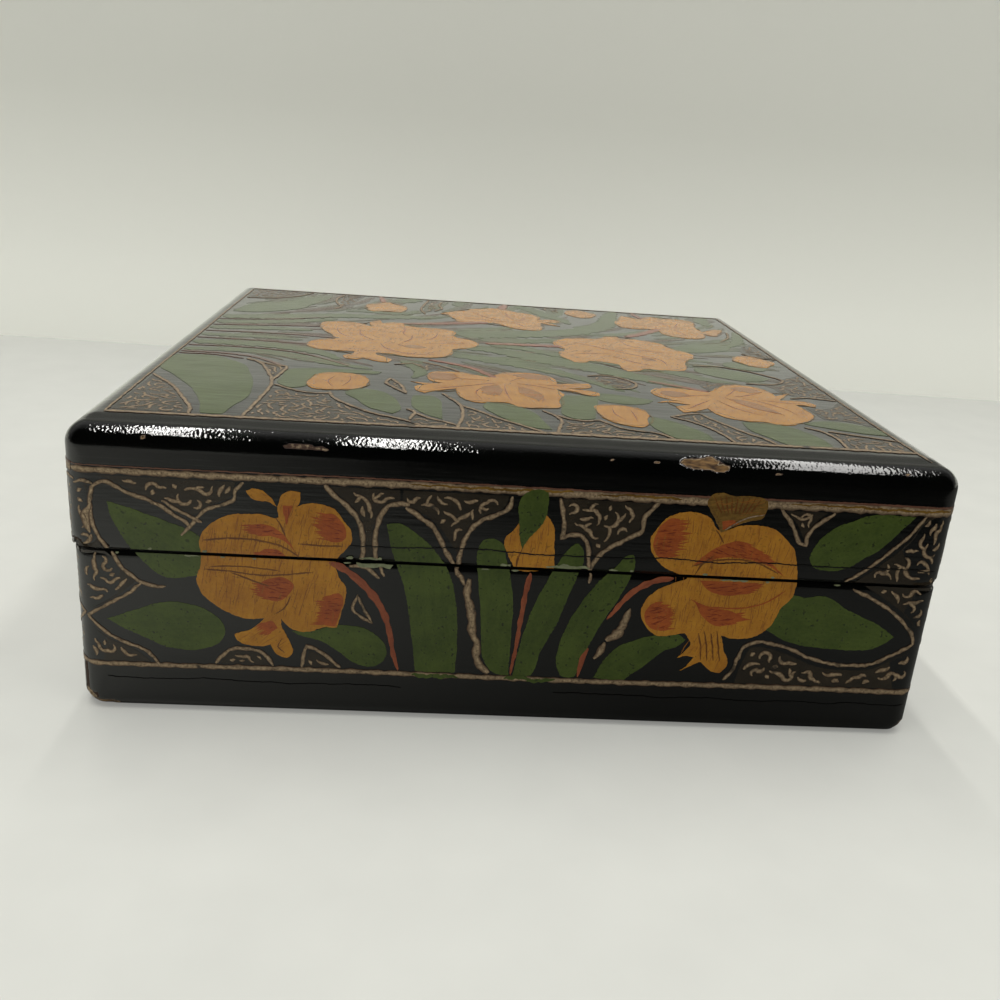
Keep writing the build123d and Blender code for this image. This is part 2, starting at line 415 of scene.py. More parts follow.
def plan_contour(low, high, corner_inset, fine_spans):
    """Points round the plan with their outward directions: (x, y, out x, out y). The front is stepped finely
    where the lacquer is chipped."""
    corners = [((high[0], low[1]), -90), ((high[0], high[1]), 0),
               ((low[0], high[1]), 90), ((low[0], low[1]), 180)]
    rows = []
    x = low[0] + corner_inset + contour_step
    while x < high[0] - corner_inset - fine_step:
        rows.append((x, low[1], 0.0, -1.0))
        x += fine_step if any(a <= x <= b for a, b in fine_spans) else contour_step
    for index, ((cx, cy), start_angle) in enumerate(corners):
        side = np.sign((cx - (low[0] + high[0]) / 2, cy - (low[1] + high[1]) / 2))
        centre = np.array((cx, cy)) - corner_inset * side
        for turn in np.linspace(0, 90, corner_points):
            out = plan_way(start_angle + turn)
            rows.append((*(centre + out * corner_inset), *out))
        if index < 3:
            next_x, next_y = corners[index + 1][0]
            out = plan_way(start_angle + 90)
            begin = centre + out * corner_inset
            length = math.hypot(next_x - cx, next_y - cy) - 2 * corner_inset
            onward = np.array((next_x - cx, next_y - cy)) / math.hypot(next_x - cx, next_y - cy)
            count = int(length / contour_step)
            for step in range(1, count):
                rows.append((*(begin + onward * length * step / count), *out))
    return np.array(rows)


# Where the lacquer is damaged: (middle, half size, depth, bareness). Bareness 1 shows paper pulp, 0.5 the
# brown undercoat. The sizes are of an ellipsoid whose outline the noise breaks up.
wounds = [
    ((29.8, -79.5, 51.8), (3.1, 2.0, 0.72), 0.30, 1.0),
    ((33.0, -79.6, 51.3), (1.9, 1.8, 0.55), 0.28, 1.0),
    ((28.2, -79.3, 52.2), (1.5, 1.2, 0.26), 0.18, 1.0),
    ((31.5, -79.3, 52.2), (1.3, 1.5, 0.6), 0.26, 1.0),
    ((21.9, -79.6, 51.7), (0.5, 0.8, 0.18), 0.06, 1.2),
    ((-38.0, -79.9, 51.1), (3.2, 1.4, 0.40), 0.07, 0.64),
    ((-34.2, -80.05, 50.8), (0.45, 0.8, 0.18), 0.05, 0.9),
    ((-64.0, -79.8, 51.3), (0.55, 0.8, 0.18), 0.05, 1.2),
    ((43.2, -79.9, 50.9), (0.5, 0.8, 0.26), 0.05, 1.2),
    ((66.5, -79.6, 51.9), (0.5, 0.8, 0.22), 0.05, 1.0),
    ((14.0, -79.6, 51.6), (0.35, 0.8, 0.2), 0.04, 1.1),
    ((-75.6, -79.1, 1.6), (1.9, 1.9, 1.7), 0.22, 0.75),
    ((-76.3, -79.2, 6.0), (0.8, 0.8, 3.4), 0.10, 0.60),
    ((-73.0, -79.6, 0.9), (3.0, 1.3, 0.8), 0.12, 0.9),
    ((-76.3, -79.6, 31.8), (1.3, 1.3, 1.0), 0.20, 0.7),
    ((75.6, -79.1, 1.4), (1.4, 1.4, 1.4), 0.12, 0.6),
    ((75.0, 78.8, 51.2), (1.4, 1.4, 1.1), 0.14, 0.7),
    ((-75.5, 78.8, 51.0), (1.3, 1.3, 1.4), 0.12, 0.6),
    ((75.4, 79.0, 1.5), (1.9, 1.9, 1.7), 0.18, 0.8),
    ((-75.5, 79.0, 1.6), (1.6, 1.6, 2.0), 0.16, 0.7),
    ((12.0, 80.3, 52.3), (2.6, 1.6, 0.8), 0.18, 0.9),
    ((-52.0, 80.3, 31.6), (1.8, 0.8, 0.5), 0.10, 0.8),
    ((76.9, 8.0, 30.9), (0.7, 3.2, 0.5), 0.10, 0.8),
    ((-77.4, -22.0, 31.7), (0.7, 2.2, 0.5), 0.10, 0.8),
]


def lumpy(points, size, seed):
    """Smooth noise from a few waves, about -1 to 1, the same on every run."""
    waves = random.Random(seed)
    total = np.zeros(points.shape[:-1])
    for _ in range(7):
        way = np.array([waves.gauss(0, 1) for _ in range(3)])
        way /= np.linalg.norm(way)
        length = size * waves.uniform(0.6, 1.6)
        total += np.sin(points @ way * (2 * math.pi / length) + waves.uniform(0, 6.3))
    return total / 3.2


def worn(points):
    """How deep and how bare each point of a skin is."""
    depth = np.zeros(len(points))
    bare = np.zeros(len(points))
    ragged = lumpy(points, 2.2, 5) * 0.15 + lumpy(points, 0.8, 6) * 0.07
    for middle, size, sunk, bareness in wounds:
        reach = np.linalg.norm((points - np.array(middle)) / np.array(size), axis=1) + ragged
        depth = np.maximum(depth, np.clip((1.08 - reach) / 0.16, 0, 1) * sunk)
        bare = np.maximum(bare, np.clip((1.25 - reach) / 0.3, 0, 1) * bareness)
    return depth, bare


def lay_coat(body, fine_spans):
    """Builds a closed coat: the outer skin from the rim to the flat cap, then the hidden inner skin back."""
    low, high = skins[body]
    contour = plan_contour(low, high, cap_inset + contour_slack, fine_spans)
    capped_up = body == "lid"
    up = 1 if capped_up else -1
    rim, cap = (low[2], high[2]) if capped_up else (high[2], low[2])
    shoulder = cap - up * cap_inset
    rings = []

    def ring(inset, height, tilt, grow=coat_thickness):
        rings.append(skin_ring(body, contour, inset, height, tilt * up, grow))

    for tilt in (-90, -70, -45, -20, 0):
        ring(rim_wrap, rim + up * rim_wrap, tilt)
    for height in np.linspace(rim + up * rim_wrap, shoulder, wall_rings)[1:]:
        ring(rim_wrap, height, 0)
    for tilt in np.linspace(0, 90, rounding_rings)[1:]:
        ring(cap_inset, shoulder, tilt)
    ring(cap_inset + cap_lap, shoulder, 90)
    outer = len(rings)
    for tilt in (90, 60, 30):
        ring(cap_inset, shoulder, tilt, buried)
    ring(rim_wrap, shoulder, 0, buried)
    ring(rim_wrap, rim + up * rim_wrap, 0, buried)
    rings.append((rings[0][0] + np.array((0, 0, up * inner_gap)), rings[0][1]))
    count = len(contour)
    points = np.concatenate([found for found, _ in rings])
    rays = np.concatenate([ray for _, ray in rings])
    depth, bare = worn(points)
    depth[outer * count:] = 0
    points = points - rays * depth[:, None]
    faces = []
    order = list(range(len(rings))) + [0]
    for row, (this, following) in enumerate(zip(order, order[1:])):
        if row == outer - 1:
            continue
        for i in range(count):
            j = (i + 1) % count
            faces.append((this * count + i, this * count + j, following * count + j, following * count + i))
    faces.append([(outer - 1) * count + i for i in range(count)])
    faces.append([outer * count + i for i in range(count)][::-1])
    if not capped_up:
        faces = [face[::-1] for face in faces]
    coat = add_mesh(body + "_lacquer", points, faces, smooth=True)
    for flat_face in (-1, -2):
        coat.data.polygons[len(faces) + flat_face].use_smooth = False
    bareness = coat.data.attributes.new("bareness", "FLOAT", "POINT")
    bareness.data.foreach_set("value", bare.astype(np.float32))
    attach(coat, body)
    return coat


chipped_spans = ((19, 37), (-44, -32))
coats = (lay_coat("lid", chipped_spans), lay_coat("base", ()))

# The varnish lies over lacquer and paint alike. It has brush marks along the box, and a fine pebbling that
# is strongest on the rounded edges, where the lamps sparkle in it.
varnish_skin, given = new_group("varnish_skin", Pebble=0.3, Brush=0.3, Waves=0.3, Normal="NodeSocketVector")
place = node(varnish_skin, "ShaderNodeTexCoord").outputs["Object"]
shallow = bump(varnish_skin, noise(varnish_skin, place, 70.0, 2.0), given["Waves"], 0.6)
brush_marks = noise(varnish_skin, stretched(varnish_skin, place, (0.06, 0.5, 1.0)), 1500.0, 3.0)
streaked = bump(varnish_skin, brush_marks, given["Brush"], 0.1, Normal=shallow)
pebbles = noise(varnish_skin, place, 2000.0, 0.6)
pebbled = bump(varnish_skin, pebbles, given["Pebble"], 0.1, Normal=streaked)
node(varnish_skin, "NodeGroupOutput", {"Normal": pebbled})

sag_start = -77.5
sag_end = -71.5
lacquer, tree = new_material("black_lacquer")
place = node(tree, "ShaderNodeTexCoord").outputs["Object"]
facing_up = node(tree, "ShaderNodeNewGeometry").outputs["True Normal"]
facing_up = node(tree, "ShaderNodeSeparateXYZ", {"Vector": facing_up}).outputs["Z"]
pebbling = sums(tree, "MULTIPLY", ramp(tree, facing_up, 0.25, 0.6, 0.06, 0.30),
                ramp(tree, facing_up, 0.985, 0.999, 1.0, 0.15))
varnish = placed(tree, varnish_skin, Pebble=pebbling, Brush=0.35, Waves=0.25)
# the top sags a little towards its front edge
depth_in = node(tree, "ShaderNodeSeparateXYZ", {"Vector": place}).outputs["Y"]
sag = ramp(tree, depth_in, sag_start * mm, sag_end * mm, way="SMOOTHSTEP")
black = blend(tree, ramp(tree, noise(tree, place, 45.0, 4.0), 0.3, 0.7),
              (0.0003, 0.0005, 0.0005, 1), (0.0013, 0.0015, 0.0012, 1))
# damage first bares the brown undercoat, then the fibres of the pulp, with a pale broken rim between
crumbs = sums(tree, "SUBTRACT", noise(tree, place, 900.0, 5.0, Roughness=0.65), 0.5)
broken = sums(tree, "ADD", node(tree, "ShaderNodeAttribute", attribute_name="bareness").outputs["Fac"],
              sums(tree, "MULTIPLY", crumbs, 0.55))
undercoat = ramp(tree, broken, 0.30, 0.42)
fibres = noise(tree, stretched(tree, place, (0.35, 1.0, 1.6), Rotation=(0.0, 0.5, 0.0)), 1600.0, 4.0)
pulp = blend(tree, ramp(tree, fibres, 0.35, 0.65), (0.024, 0.009, 0.002, 1), (0.190, 0.105, 0.035, 1))
pulp = blend(tree, ramp(tree, broken, 0.86, 0.76, most=0.8), pulp, (0.40, 0.31, 0.20, 1))
colour = blend(tree, undercoat, black, (0.036, 0.015, 0.007, 1))
colour = blend(tree, ramp(tree, broken, 0.62, 0.74), colour, pulp)
sheen = ramp(tree, pebbling, 0.0, 0.22, 0.21, 0.06)
skinned(tree, Base_Color=colour, Roughness=ramp(tree, undercoat, least=sheen), IOR=1.6,
        Normal=bump(tree, sag, 1.0, 0.42, Normal=varnish["Normal"]))
for coat in coats:
    coat.data.materials.append(lacquer)

# -----------------------------------------------------------------------------------------------------------
# The painter's hand: every leaf, petal and gold line is a thin film of paint lying on the lacquer, laid down
# by brush. Films that cross the seam are cut there, so that each half of the box keeps its own part.

seam_margin = 0.22
hinge_margin = 1.75
embedded = 0.05
film_spread = 0.015
golden_share = 0.618
ground_height = 0.02
scroll_height = 0.05
branch_height = 0.058
leaf_height = 0.05
petal_height = 0.07
throat_height = 0.09
fold_height = 0.095
gold_height = 0.10
chip_height = 0.13
crack_height = 0.135
films = {}
laid = {}
wall_ways = {"front": ((1, 0), (0, -1)), "right": ((0, 1), (1, 0)),
             "back": ((-1, 0), (0, 1)), "left": ((0, -1), (-1, 0))}


def on_box(face, body, u, v, lift):
    """A point on a face of the box, in millimetres: u runs to the viewer's right, v upwards or away. On a
    wall, what lies past the flat part bends round the upright corner."""
    low, high = skins[body]
    out = coat_thickness + lift
    if face == "top":
        return u, v, high[2] + out
    along, outward = (np.array(way, float) for way in wall_ways[face])
    corners = np.array((low[:2], high[:2]))
    reach = max(corners @ along)
    near = min(corners @ along)
    surface = max(corners @ outward)
    past = max(u - (reach - corner_rounding), 0) - max(near + corner_rounding - u, 0)
    turn = past / corner_rounding
    flat = u - past + math.sin(turn) * (corner_rounding + out)
    plan = along * flat + outward * (surface - corner_rounding + math.cos(turn) * (corner_rounding + out))
    return plan[0], plan[1], v


def trim(rows, triangles, level, above):
    """Cuts a flat film of (u, v, stroke x, stroke y) rows along v = level and keeps one side."""
    sign = 1.0 if above else -1.0
    kept_rows = []
    numbers = {}

    def number(key, row):
        if key not in numbers:
            numbers[key] = len(kept_rows)
            kept_rows.append(row)
        return numbers[key]

    kept = []
    for triangle in triangles:
        corners = []
        for a, b in zip(triangle, triangle[1:] + triangle[:1]):
            side_a = sign * (rows[a][1] - level)
            side_b = sign * (rows[b][1] - level)
            if side_a >= 0:
                corners.append(number(a, rows[a]))
            if side_a * side_b < 0:
                share = side_a / (side_a - side_b)
                first, second = (a, b) if a < b else (b, a)
                part = share if a < b else 1 - share
                row = tuple(p + (q - p) * part for p, q in zip(rows[first], rows[second]))
                corners.append(number((first, second), row))
        for i in range(1, len(corners) - 1):
            kept.append((corners[0], corners[i], corners[i + 1]))
    return kept_rows, kept


def lay_film(face, kind, rows, triangles, lift):
    """Adds a closed film to the paint of its kind, on the base, the lid, or both where it crosses the seam.
    Films of a kind lie at slightly different heights, so that no two share a plane."""
    laid[kind] = laid.get(kind, 0) + 1
    lift = lift + film_spread * ((laid[kind] * golden_share) % 1.0)
    margin = hinge_margin if face == "right" else seam_margin
    highest = max(row[1] for row in rows)
    lowest = min(row[1] for row in rows)
    for body in ("lid", "base"):
        part_rows, part = rows, triangles
        if face == "top":
            if body == "base":
                continue
        elif body == "lid":
            level = lid_low[2] + margin
            if lowest <= level:
                part_rows, part = trim(rows, triangles, level, True)
        else:
            level = base_high[2] - margin
            if highest >= level:
                part_rows, part = trim(rows, triangles, level, False)
        if not part:
            continue
        film = films.setdefault((kind, body), {"points": [], "faces": [], "strokes": []})
        start = len(film["points"])
        count = len(part_rows)
        for height in (lift, -embedded):
            film["points"] += [on_box(face, body, row[0], row[1], height) for row in part_rows]
            film["strokes"] += [row[2:] for row in part_rows]
        sides = {}
        for a, b, c in part:
            film["faces"].append((start + a, start + b, start + c))
            film["faces"].append((start + count + c, start + count + b, start + count + a))
            for edge in ((a, b), (b, c), (c, a)):
                if edge[::-1] in sides:
                    del sides[edge[::-1]]
                else:
                    sides[edge] = True
        for a, b in sides:
            film["faces"].append((start + a, start + count + a, start + count + b, start + b))


def rounded(points, closed, step=0.45):
    """A hand-drawn line through the points: it bends smoothly, and stays sharp where it turns hard."""
    points = [np.array(p, float) for p in points]
    count = len(points)
    spans = count if closed else count - 1
    chords = [points[(i + 1) % count] - points[i] for i in range(count)]
    lengths = [max(np.linalg.norm(chord), 1e-6) for chord in chords]
    ways = [chord / length for chord, length in zip(chords, lengths)]
    tangents = []
    for i in range(count):
        if not closed and i in (0, count - 1):
            way = ways[0] if i == 0 else ways[count - 2]
            tangents.append((way, way))
            continue
        before, after = ways[i - 1], ways[i]
        softness = np.clip((np.dot(before, after) - 0.05) / 0.55, 0, 1)
        middle = before * lengths[i] + after * lengths[i - 1]
        middle /= max(np.linalg.norm(middle), 1e-6)
        tangents.append((before + (middle - before) * softness, after + (middle - after) * softness))
    line = []
    for i in range(spans):
        start, end = points[i], points[(i + 1) % count]
        leave = tangents[i][1] * lengths[i]
        arrive = tangents[(i + 1) % count][0] * lengths[i]
        pieces = max(1, int(round(lengths[i] / step)))
        for k in range(pieces):
            t = k / pieces
            line.append(start * (2 * t ** 3 - 3 * t ** 2 + 1) + leave * (t ** 3 - 2 * t ** 2 + t)
                        + end * (3 * t ** 2 - 2 * t ** 3) + arrive * (t ** 3 - t ** 2))
    if not closed:
        line.append(points[-1])
    return np.array(line)


def travelled(line):
    """How far along a line each of its points lies."""
    return np.concatenate([[0], np.cumsum(np.linalg.norm(np.diff(line, axis=0), axis=1))])


def unsteady(line, amount, seed):
    """A small tremble of the brush along a line."""
    hand = random.Random(seed)
    total = np.zeros_like(line)
    along = travelled(line)
    for length in (1.1, 1.9, 3.7, 6.1):
        for axis in (0, 1):
            total[:, axis] += np.sin(along * 2 * math.pi / (length * hand.uniform(0.8, 1.25))
                                     + hand.uniform(0, 6.3)) * hand.uniform(0.4, 1.0)
    return line + total * amount / 2


def shape(face, kind, points, lift, stroke_angle=0.0, tremble=0.08, seed=1):
    """A filled patch of paint. Its strokes run at stroke_angle degrees."""
    line = [Vector(p) for p in unsteady(rounded(points, True), tremble, seed)]
    found, _, triangles, _, _, _ = delaunay_2d_cdt(line, [], [list(range(len(line)))], 1, 1e-5)
    cos_a = math.cos(math.radians(stroke_angle))
    sin_a = math.sin(math.radians(stroke_angle))
    rows = [(p.x, p.y, p.x * cos_a + p.y * sin_a, p.y * cos_a - p.x * sin_a) for p in found]
    lay_film(face, kind, rows, [tuple(t) for t in triangles], lift)


def stroke(face, kind, points, width, lift, ends=(0.4, 0.4), tremble=0.07, seed=1, step=0.45):
    """One brush line. Its width swells and thins a little, and narrows at the ends to these shares of it."""
    line = unsteady(rounded(points, False, step), tremble, seed)
    along = travelled(line)
    way = np.gradient(line, axis=0)
    way /= np.maximum(np.linalg.norm(way, axis=1), 1e-9)[:, None]
    hand = random.Random(seed + 7)
    swell = (1 + 0.14 * np.sin(along / hand.uniform(0.5, 0.8) + hand.uniform(0, 6))
             + 0.10 * np.sin(along / hand.uniform(0.25, 0.4) + hand.uniform(0, 6)))
    if isinstance(width, (int, float)):
        width = (width, width)
    wide = np.interp(along / along[-1], np.linspace(0, 1, len(width)), width)
    run = min(1.2, along[-1] * 0.35)
    start = ends[0] + (1 - ends[0]) * np.sqrt(np.clip(along / run, 0, 1))
    finish = ends[1] + (1 - ends[1]) * np.sqrt(np.clip((along[-1] - along) / run, 0, 1))
    half = wide * swell * start * finish / 2
    normal = np.column_stack([-way[:, 1], way[:, 0]])
    rows = []
    triangles = []
    for i in range(len(line)):
        for side in (1, -1):
            brush = (0.5 - 0.5 * side, along[i]) if kind == "gold" else (along[i], side * half[i])
            rows.append((*(line[i] + side * (normal[i] * half[i])), *brush))
        if i:
            triangles.append((2 * i - 2, 2 * i - 1, 2 * i + 1))
            triangles.append((2 * i - 2, 2 * i + 1, 2 * i))
    lay_film(face, kind, rows, triangles, lift)


def feathering(face, kind, edge, reach, lift, seed, spacing=0.42, width=0.5):
    """Short strokes that pull a patch's edge out: each starts on the edge and runs by about reach."""
    hand = random.Random(seed)
    line = rounded(edge, False, spacing)
    for i, (u, v) in enumerate(line):
        share = hand.uniform(0.35, 1.0)
        slip = hand.uniform(-0.12, 0.12)
        tip = (u + reach[0] * share - reach[1] * slip, v + reach[1] * share + reach[0] * slip)
        back = (u - reach[0] * 0.25, v - reach[1] * 0.25)
        stroke(face, kind, [back, (u, v), tip], (width, width, 0.08), lift, (0.8, 0.2), 0.02, seed + i, 0.5)


def inside(point, outline):
    """Whether a point lies inside an outline."""
    u, v = point
    found = False
    for (a, b), (c, d) in zip(outline, outline[1:] + outline[:1]):
        if (b > v) != (d > v) and u < (c - a) * (v - b) / (d - b) + a:
            found = not found
    return found


def hairs(face, kind, outline, angle, lift, seed, spacing=1.3, longest=3.6, widest=0.17):
    """Fine strokes inside a patch, all near one angle, as a half-dry brush leaves them."""
    hand = random.Random(seed)
    border = [tuple(point) for point in rounded(outline, True, 1.2)]
    low = np.min(border, axis=0)
    high = np.max(border, axis=0)
    for u in np.arange(low[0], high[0], spacing):
        for v in np.arange(low[1], high[1], spacing):
            start = np.array((u, v)) + np.array((hand.uniform(-0.6, 0.6), hand.uniform(-0.6, 0.6))) * spacing
            way = plan_way(angle + hand.uniform(-11, 11))
            tip = start + way * hand.uniform(0.3, 1.0) * longest
            middle = (start + tip) / 2 + np.array((hand.uniform(-0.15, 0.15), hand.uniform(-0.15, 0.15)))
            thick = hand.uniform(0.5, 1.0) * widest
            if inside(start, border) and inside(tip, border):
                stroke(face, kind, [start, middle, tip], (0.08, thick, 0.06), lift, (0.3, 0.2), 0.02,
                       seed + int(u * 7 + v * 3), 0.8)


def scrolls(face, cell, seed, spacing=1.75, width=0.66, longest=15):
    """Fills a cell with its brown ground and with gold squiggles that wander and branch but never cross."""
    shape(face, "ground", cell, ground_height, 20, 0.05, seed)
    hand = random.Random(seed)
    border = rounded(cell, True, 0.8)
    outline = [tuple(p) for p in border]
    low = border.min(axis=0)
    high = border.max(axis=0)
    drawn = []
    starts = []
    for u in np.arange(low[0], high[0], spacing * 0.4):
        for v in np.arange(low[1], high[1], spacing * 0.4):
            starts.append((u + hand.uniform(-0.4, 0.4) * spacing, v + hand.uniform(-0.4, 0.4) * spacing))
    hand.shuffle(starts)

    def free(point, parent):
        if not inside(point, outline) or np.min(np.hypot(*(border - point).T)) < width:
            return False
        if not drawn:
            return True
        others = np.array(drawn)
        near = np.hypot(*(others - point).T) < spacing * 0.52
        if parent is not None:
            near &= np.hypot(*(others - parent).T) > spacing * 0.6
        return not near.any()

    def wander(start, heading, parent, most):
        path = [start]
        bend = hand.choice((-1, 1)) * hand.uniform(0.1, 0.5)
        for _ in range(most):
            if hand.random() < 0.28:
                bend = -math.copysign(hand.uniform(0.15, 0.75), bend)
            heading += bend
            following = (path[-1][0] + 0.5 * math.cos(heading), path[-1][1] + 0.5 * math.sin(heading))
            coiled = any(math.dist(following, old) < width * 1.55 for old in path[:-3])
            if coiled or not free(following, parent):
                break
            path.append(following)
        return path

    for fewest in (9, 6, 3):
        for index, start in enumerate(starts):
            if not free(start, None):
                continue
            tries = []
            for _ in range(5):
                tries.append(wander(start, hand.uniform(0, 2 * math.pi), None, hand.randint(6, longest)))
            path = max(tries, key=len)
            if len(path) < fewest:
                continue
            drawn += path
            stroke(face, "gold", path, (width * 0.8, width * 1.2, width * 0.7), scroll_height,
                   (0.55, 0.4), 0.05, seed * 50 + index, 0.5)
            for _ in range(len(path) // 5):
                fork = hand.randint(1, len(path) - 2)
                ahead = math.atan2(path[fork + 1][1] - path[fork][1], path[fork + 1][0] - path[fork][0])
                branch = wander(path[fork], ahead + hand.choice((-1.2, 1.2)), path[fork], hand.randint(3, 7))
                if len(branch) > 3:
                    drawn += branch[2:]
                    stroke(face, "gold", branch, (width * 1.1, width * 0.8), branch_height,
                           (0.9, 0.4), 0.04, seed * 70 + index, 0.5)

# -----------------------------------------------------------------------------------------------------------
# The painted walls: two yellow irises lie across the seam with a bud between them, among upright blades and
# broad leaves. Gold contours part the black from brown cells full of scrolls, between two gold border lines.

border_end = 76.0
lid_edge = 31.75
base_edge = 30.7


def iris_wall(face, stretch, mirrored, drift, seed):
    """Paints one wall. The other walls are the same scheme, stretched, mirrored and drawn by a freer hand."""
    flip = -1 if mirrored else 1

    def at(points):
        moved = []
        for u, v in points:
            swayed = u + drift * (math.sin(v * 0.21 + seed) + 0.6 * math.sin(u * 0.13 + seed * 2))
            moved.append((swayed * flip * stretch, v + drift * 0.55 * math.sin(u * 0.09 + seed * 3)))
        return moved

    def leaning(angle):
        return 180 - angle if mirrored else angle

    def leaf(points, angle, lift=leaf_height):
        shape(face, "leaf", at(points), lift, leaning(angle), 0.10, seed)

    def petal(points, angle, lift=petal_height, kind="petal"):
        shape(face, kind, at(points), lift, leaning(angle), 0.10, seed + 3)
        hairs(face, "throat", at(points), leaning(angle), lift + 0.012, seed + len(points))

    def red(points, edge, reach, lift=throat_height):
        shape(face, "red", at(points), lift, 0, 0.06, seed + 5)
        if edge:
            pull = (reach[0] * flip * 1.25, reach[1] * 1.25)
            feathering(face, "red", at(edge), pull, lift, seed + len(points), 0.36, 0.36)
            along = math.degrees(math.atan2(reach[1], reach[0] * flip))
            hairs(face, "crimson", at(points), along, lift + 0.016, seed + len(points), 0.9, 2.2, 0.26)

    def gold(points, width=0.75, lift=gold_height, ends=(0.5, 0.5)):
        stroke(face, "gold", at(points), width, lift, ends, 0.10, seed + len(points))

    def fold(points, width=0.3, kind="fold", lift=fold_height, hatched=0.0):
        hand_seed = seed + len(points)
        stroke(face, kind, at(points), width, lift, (0.3, 0.2), 0.05, hand_seed)
        if hatched:
            feathering(face, kind, at(points), (0.15, hatched * 0.8), lift, hand_seed, 0.7, 0.09)
            feathering(face, kind, at(points), (-0.15, -hatched * 0.4), lift, hand_seed + 1, 0.9, 0.08)

    def cell(points, number, *sizes):
        scrolls(face, at(points), seed + number, *sizes)

    # broad leaves at both ends
    leaf([(-70.2, 40), (-66.5, 39), (-62, 37.4), (-58, 36), (-55.4, 34.6), (-53.5, 31), (-54, 27.5),
        (-57, 26.8), (-60, 26.3), (-62.8, 27.3), (-64.8, 29.3), (-66.8, 31.8), (-68.6, 35), (-70, 38.3)],
        -35)
    leaf([(-71.5, 18), (-69, 19), (-65, 20.6), (-61, 21.8), (-58, 21.6), (-54, 20.3), (-51.8, 18.3),
        (-51.2, 16.3), (-52, 14.5), (-54.5, 13), (-58, 12.5), (-61.5, 13), (-65, 14.6), (-68.5, 16.3)], 0)
    leaf([(-39.5, 17), (-36, 17.2), (-33, 18.3), (-30, 18.6), (-27, 18.2), (-24.5, 16.7), (-23, 14.8),
        (-22.8, 12.6), (-23.8, 11.3), (-26, 10.5), (-29, 11.5), (-31.5, 13.5), (-35, 15.5), (-38.5, 16.4)],
        -15)
    leaf([(51.3, 35.8), (52, 38.3), (54, 41), (57.5, 43), (61, 44.4), (69, 44.5), (67, 42), (64.5, 38.8),
        (61, 36), (58, 34), (55, 33.5), (52.5, 34)], 28)
    leaf([(46, 27.6), (49.7, 28.3), (52, 28), (56, 28.3), (60, 26), (64, 24.3), (68, 22.3), (70, 20.8),
        (68.5, 19.3), (65.5, 18), (60, 17.8), (54, 18.2), (50, 19), (47.5, 20.3), (45, 21.8)], -8)
    # upright blades
    leaf([(-23.5, 38.3), (-21.5, 38.6), (-19, 37.3), (-16, 34.8), (-14, 32.5), (-12.8, 30.5), (-11.5, 27),
        (-10.6, 22), (-10.2, 15), (-10.3, 10), (-17.5, 10), (-18, 14), (-18.9, 20), (-20, 26), (-21.5, 30.5),
        (-22.8, 34.5)], 96)
    leaf([(-6.8, 36.2), (-5, 36.6), (-3.5, 35.8), (-2.6, 33), (-1.6, 29.5), (-0.8, 25), (-0.6, 18),
        (-0.5, 9.8), (-3.4, 10.3), (-5.3, 13), (-6, 18), (-6.6, 24), (-7.4, 30), (-7.7, 34)], 92)
    leaf([(8.6, 35.8), (9.6, 36.5), (10.6, 35.6), (11, 33), (10.2, 30), (9, 26), (7.2, 20), (5, 15),
        (3.6, 10), (0.3, 9.6), (0.8, 14), (1.5, 18), (3, 24), (5, 29), (6.8, 33)], 70)
    leaf([(19.7, 34.8), (20.2, 33), (19.6, 30), (18, 26), (15.5, 21), (13.5, 16), (12.3, 12), (11.5, 10),
        (9.3, 10), (8.2, 12), (8.2, 16), (9.2, 20), (11.2, 24.5), (14, 29), (17, 32.5), (18.7, 34.7)], 62)
    leaf([(15.2, 10), (16.4, 13), (18.5, 16), (22, 18), (26, 19.2), (30, 19.5), (31.3, 18.4), (30, 17.2),
        (27.5, 16), (25, 13.5), (22.7, 11.5), (20.5, 9.6)], 35)

    # stems
    fold([(-33.3, 30.6), (-31, 29.7), (-28.5, 27.8), (-26, 25.3), (-24, 22.3), (-22.7, 19), (-21.9, 15),
        (-21.2, 12), (-20.6, 10)], (1.1, 1.35, 1.0, 0.6), "stem", 0.08)
    fold([(1.9, 30.3), (1.3, 26), (0.8, 20), (0.4, 15), (-0.2, 10)], (0.95, 0.8, 0.5), "stem", 0.08)
    fold([(27.5, 30.6), (24, 29.8), (21, 28), (18.8, 25.5), (17, 22.8), (16.4, 22)], (1.0, 1.1, 0.6),
        "stem", 0.08)
    fold([(13.6, 16), (13, 14.5), (12.2, 10)], (0.8, 0.9, 0.6), "stem", 0.08)

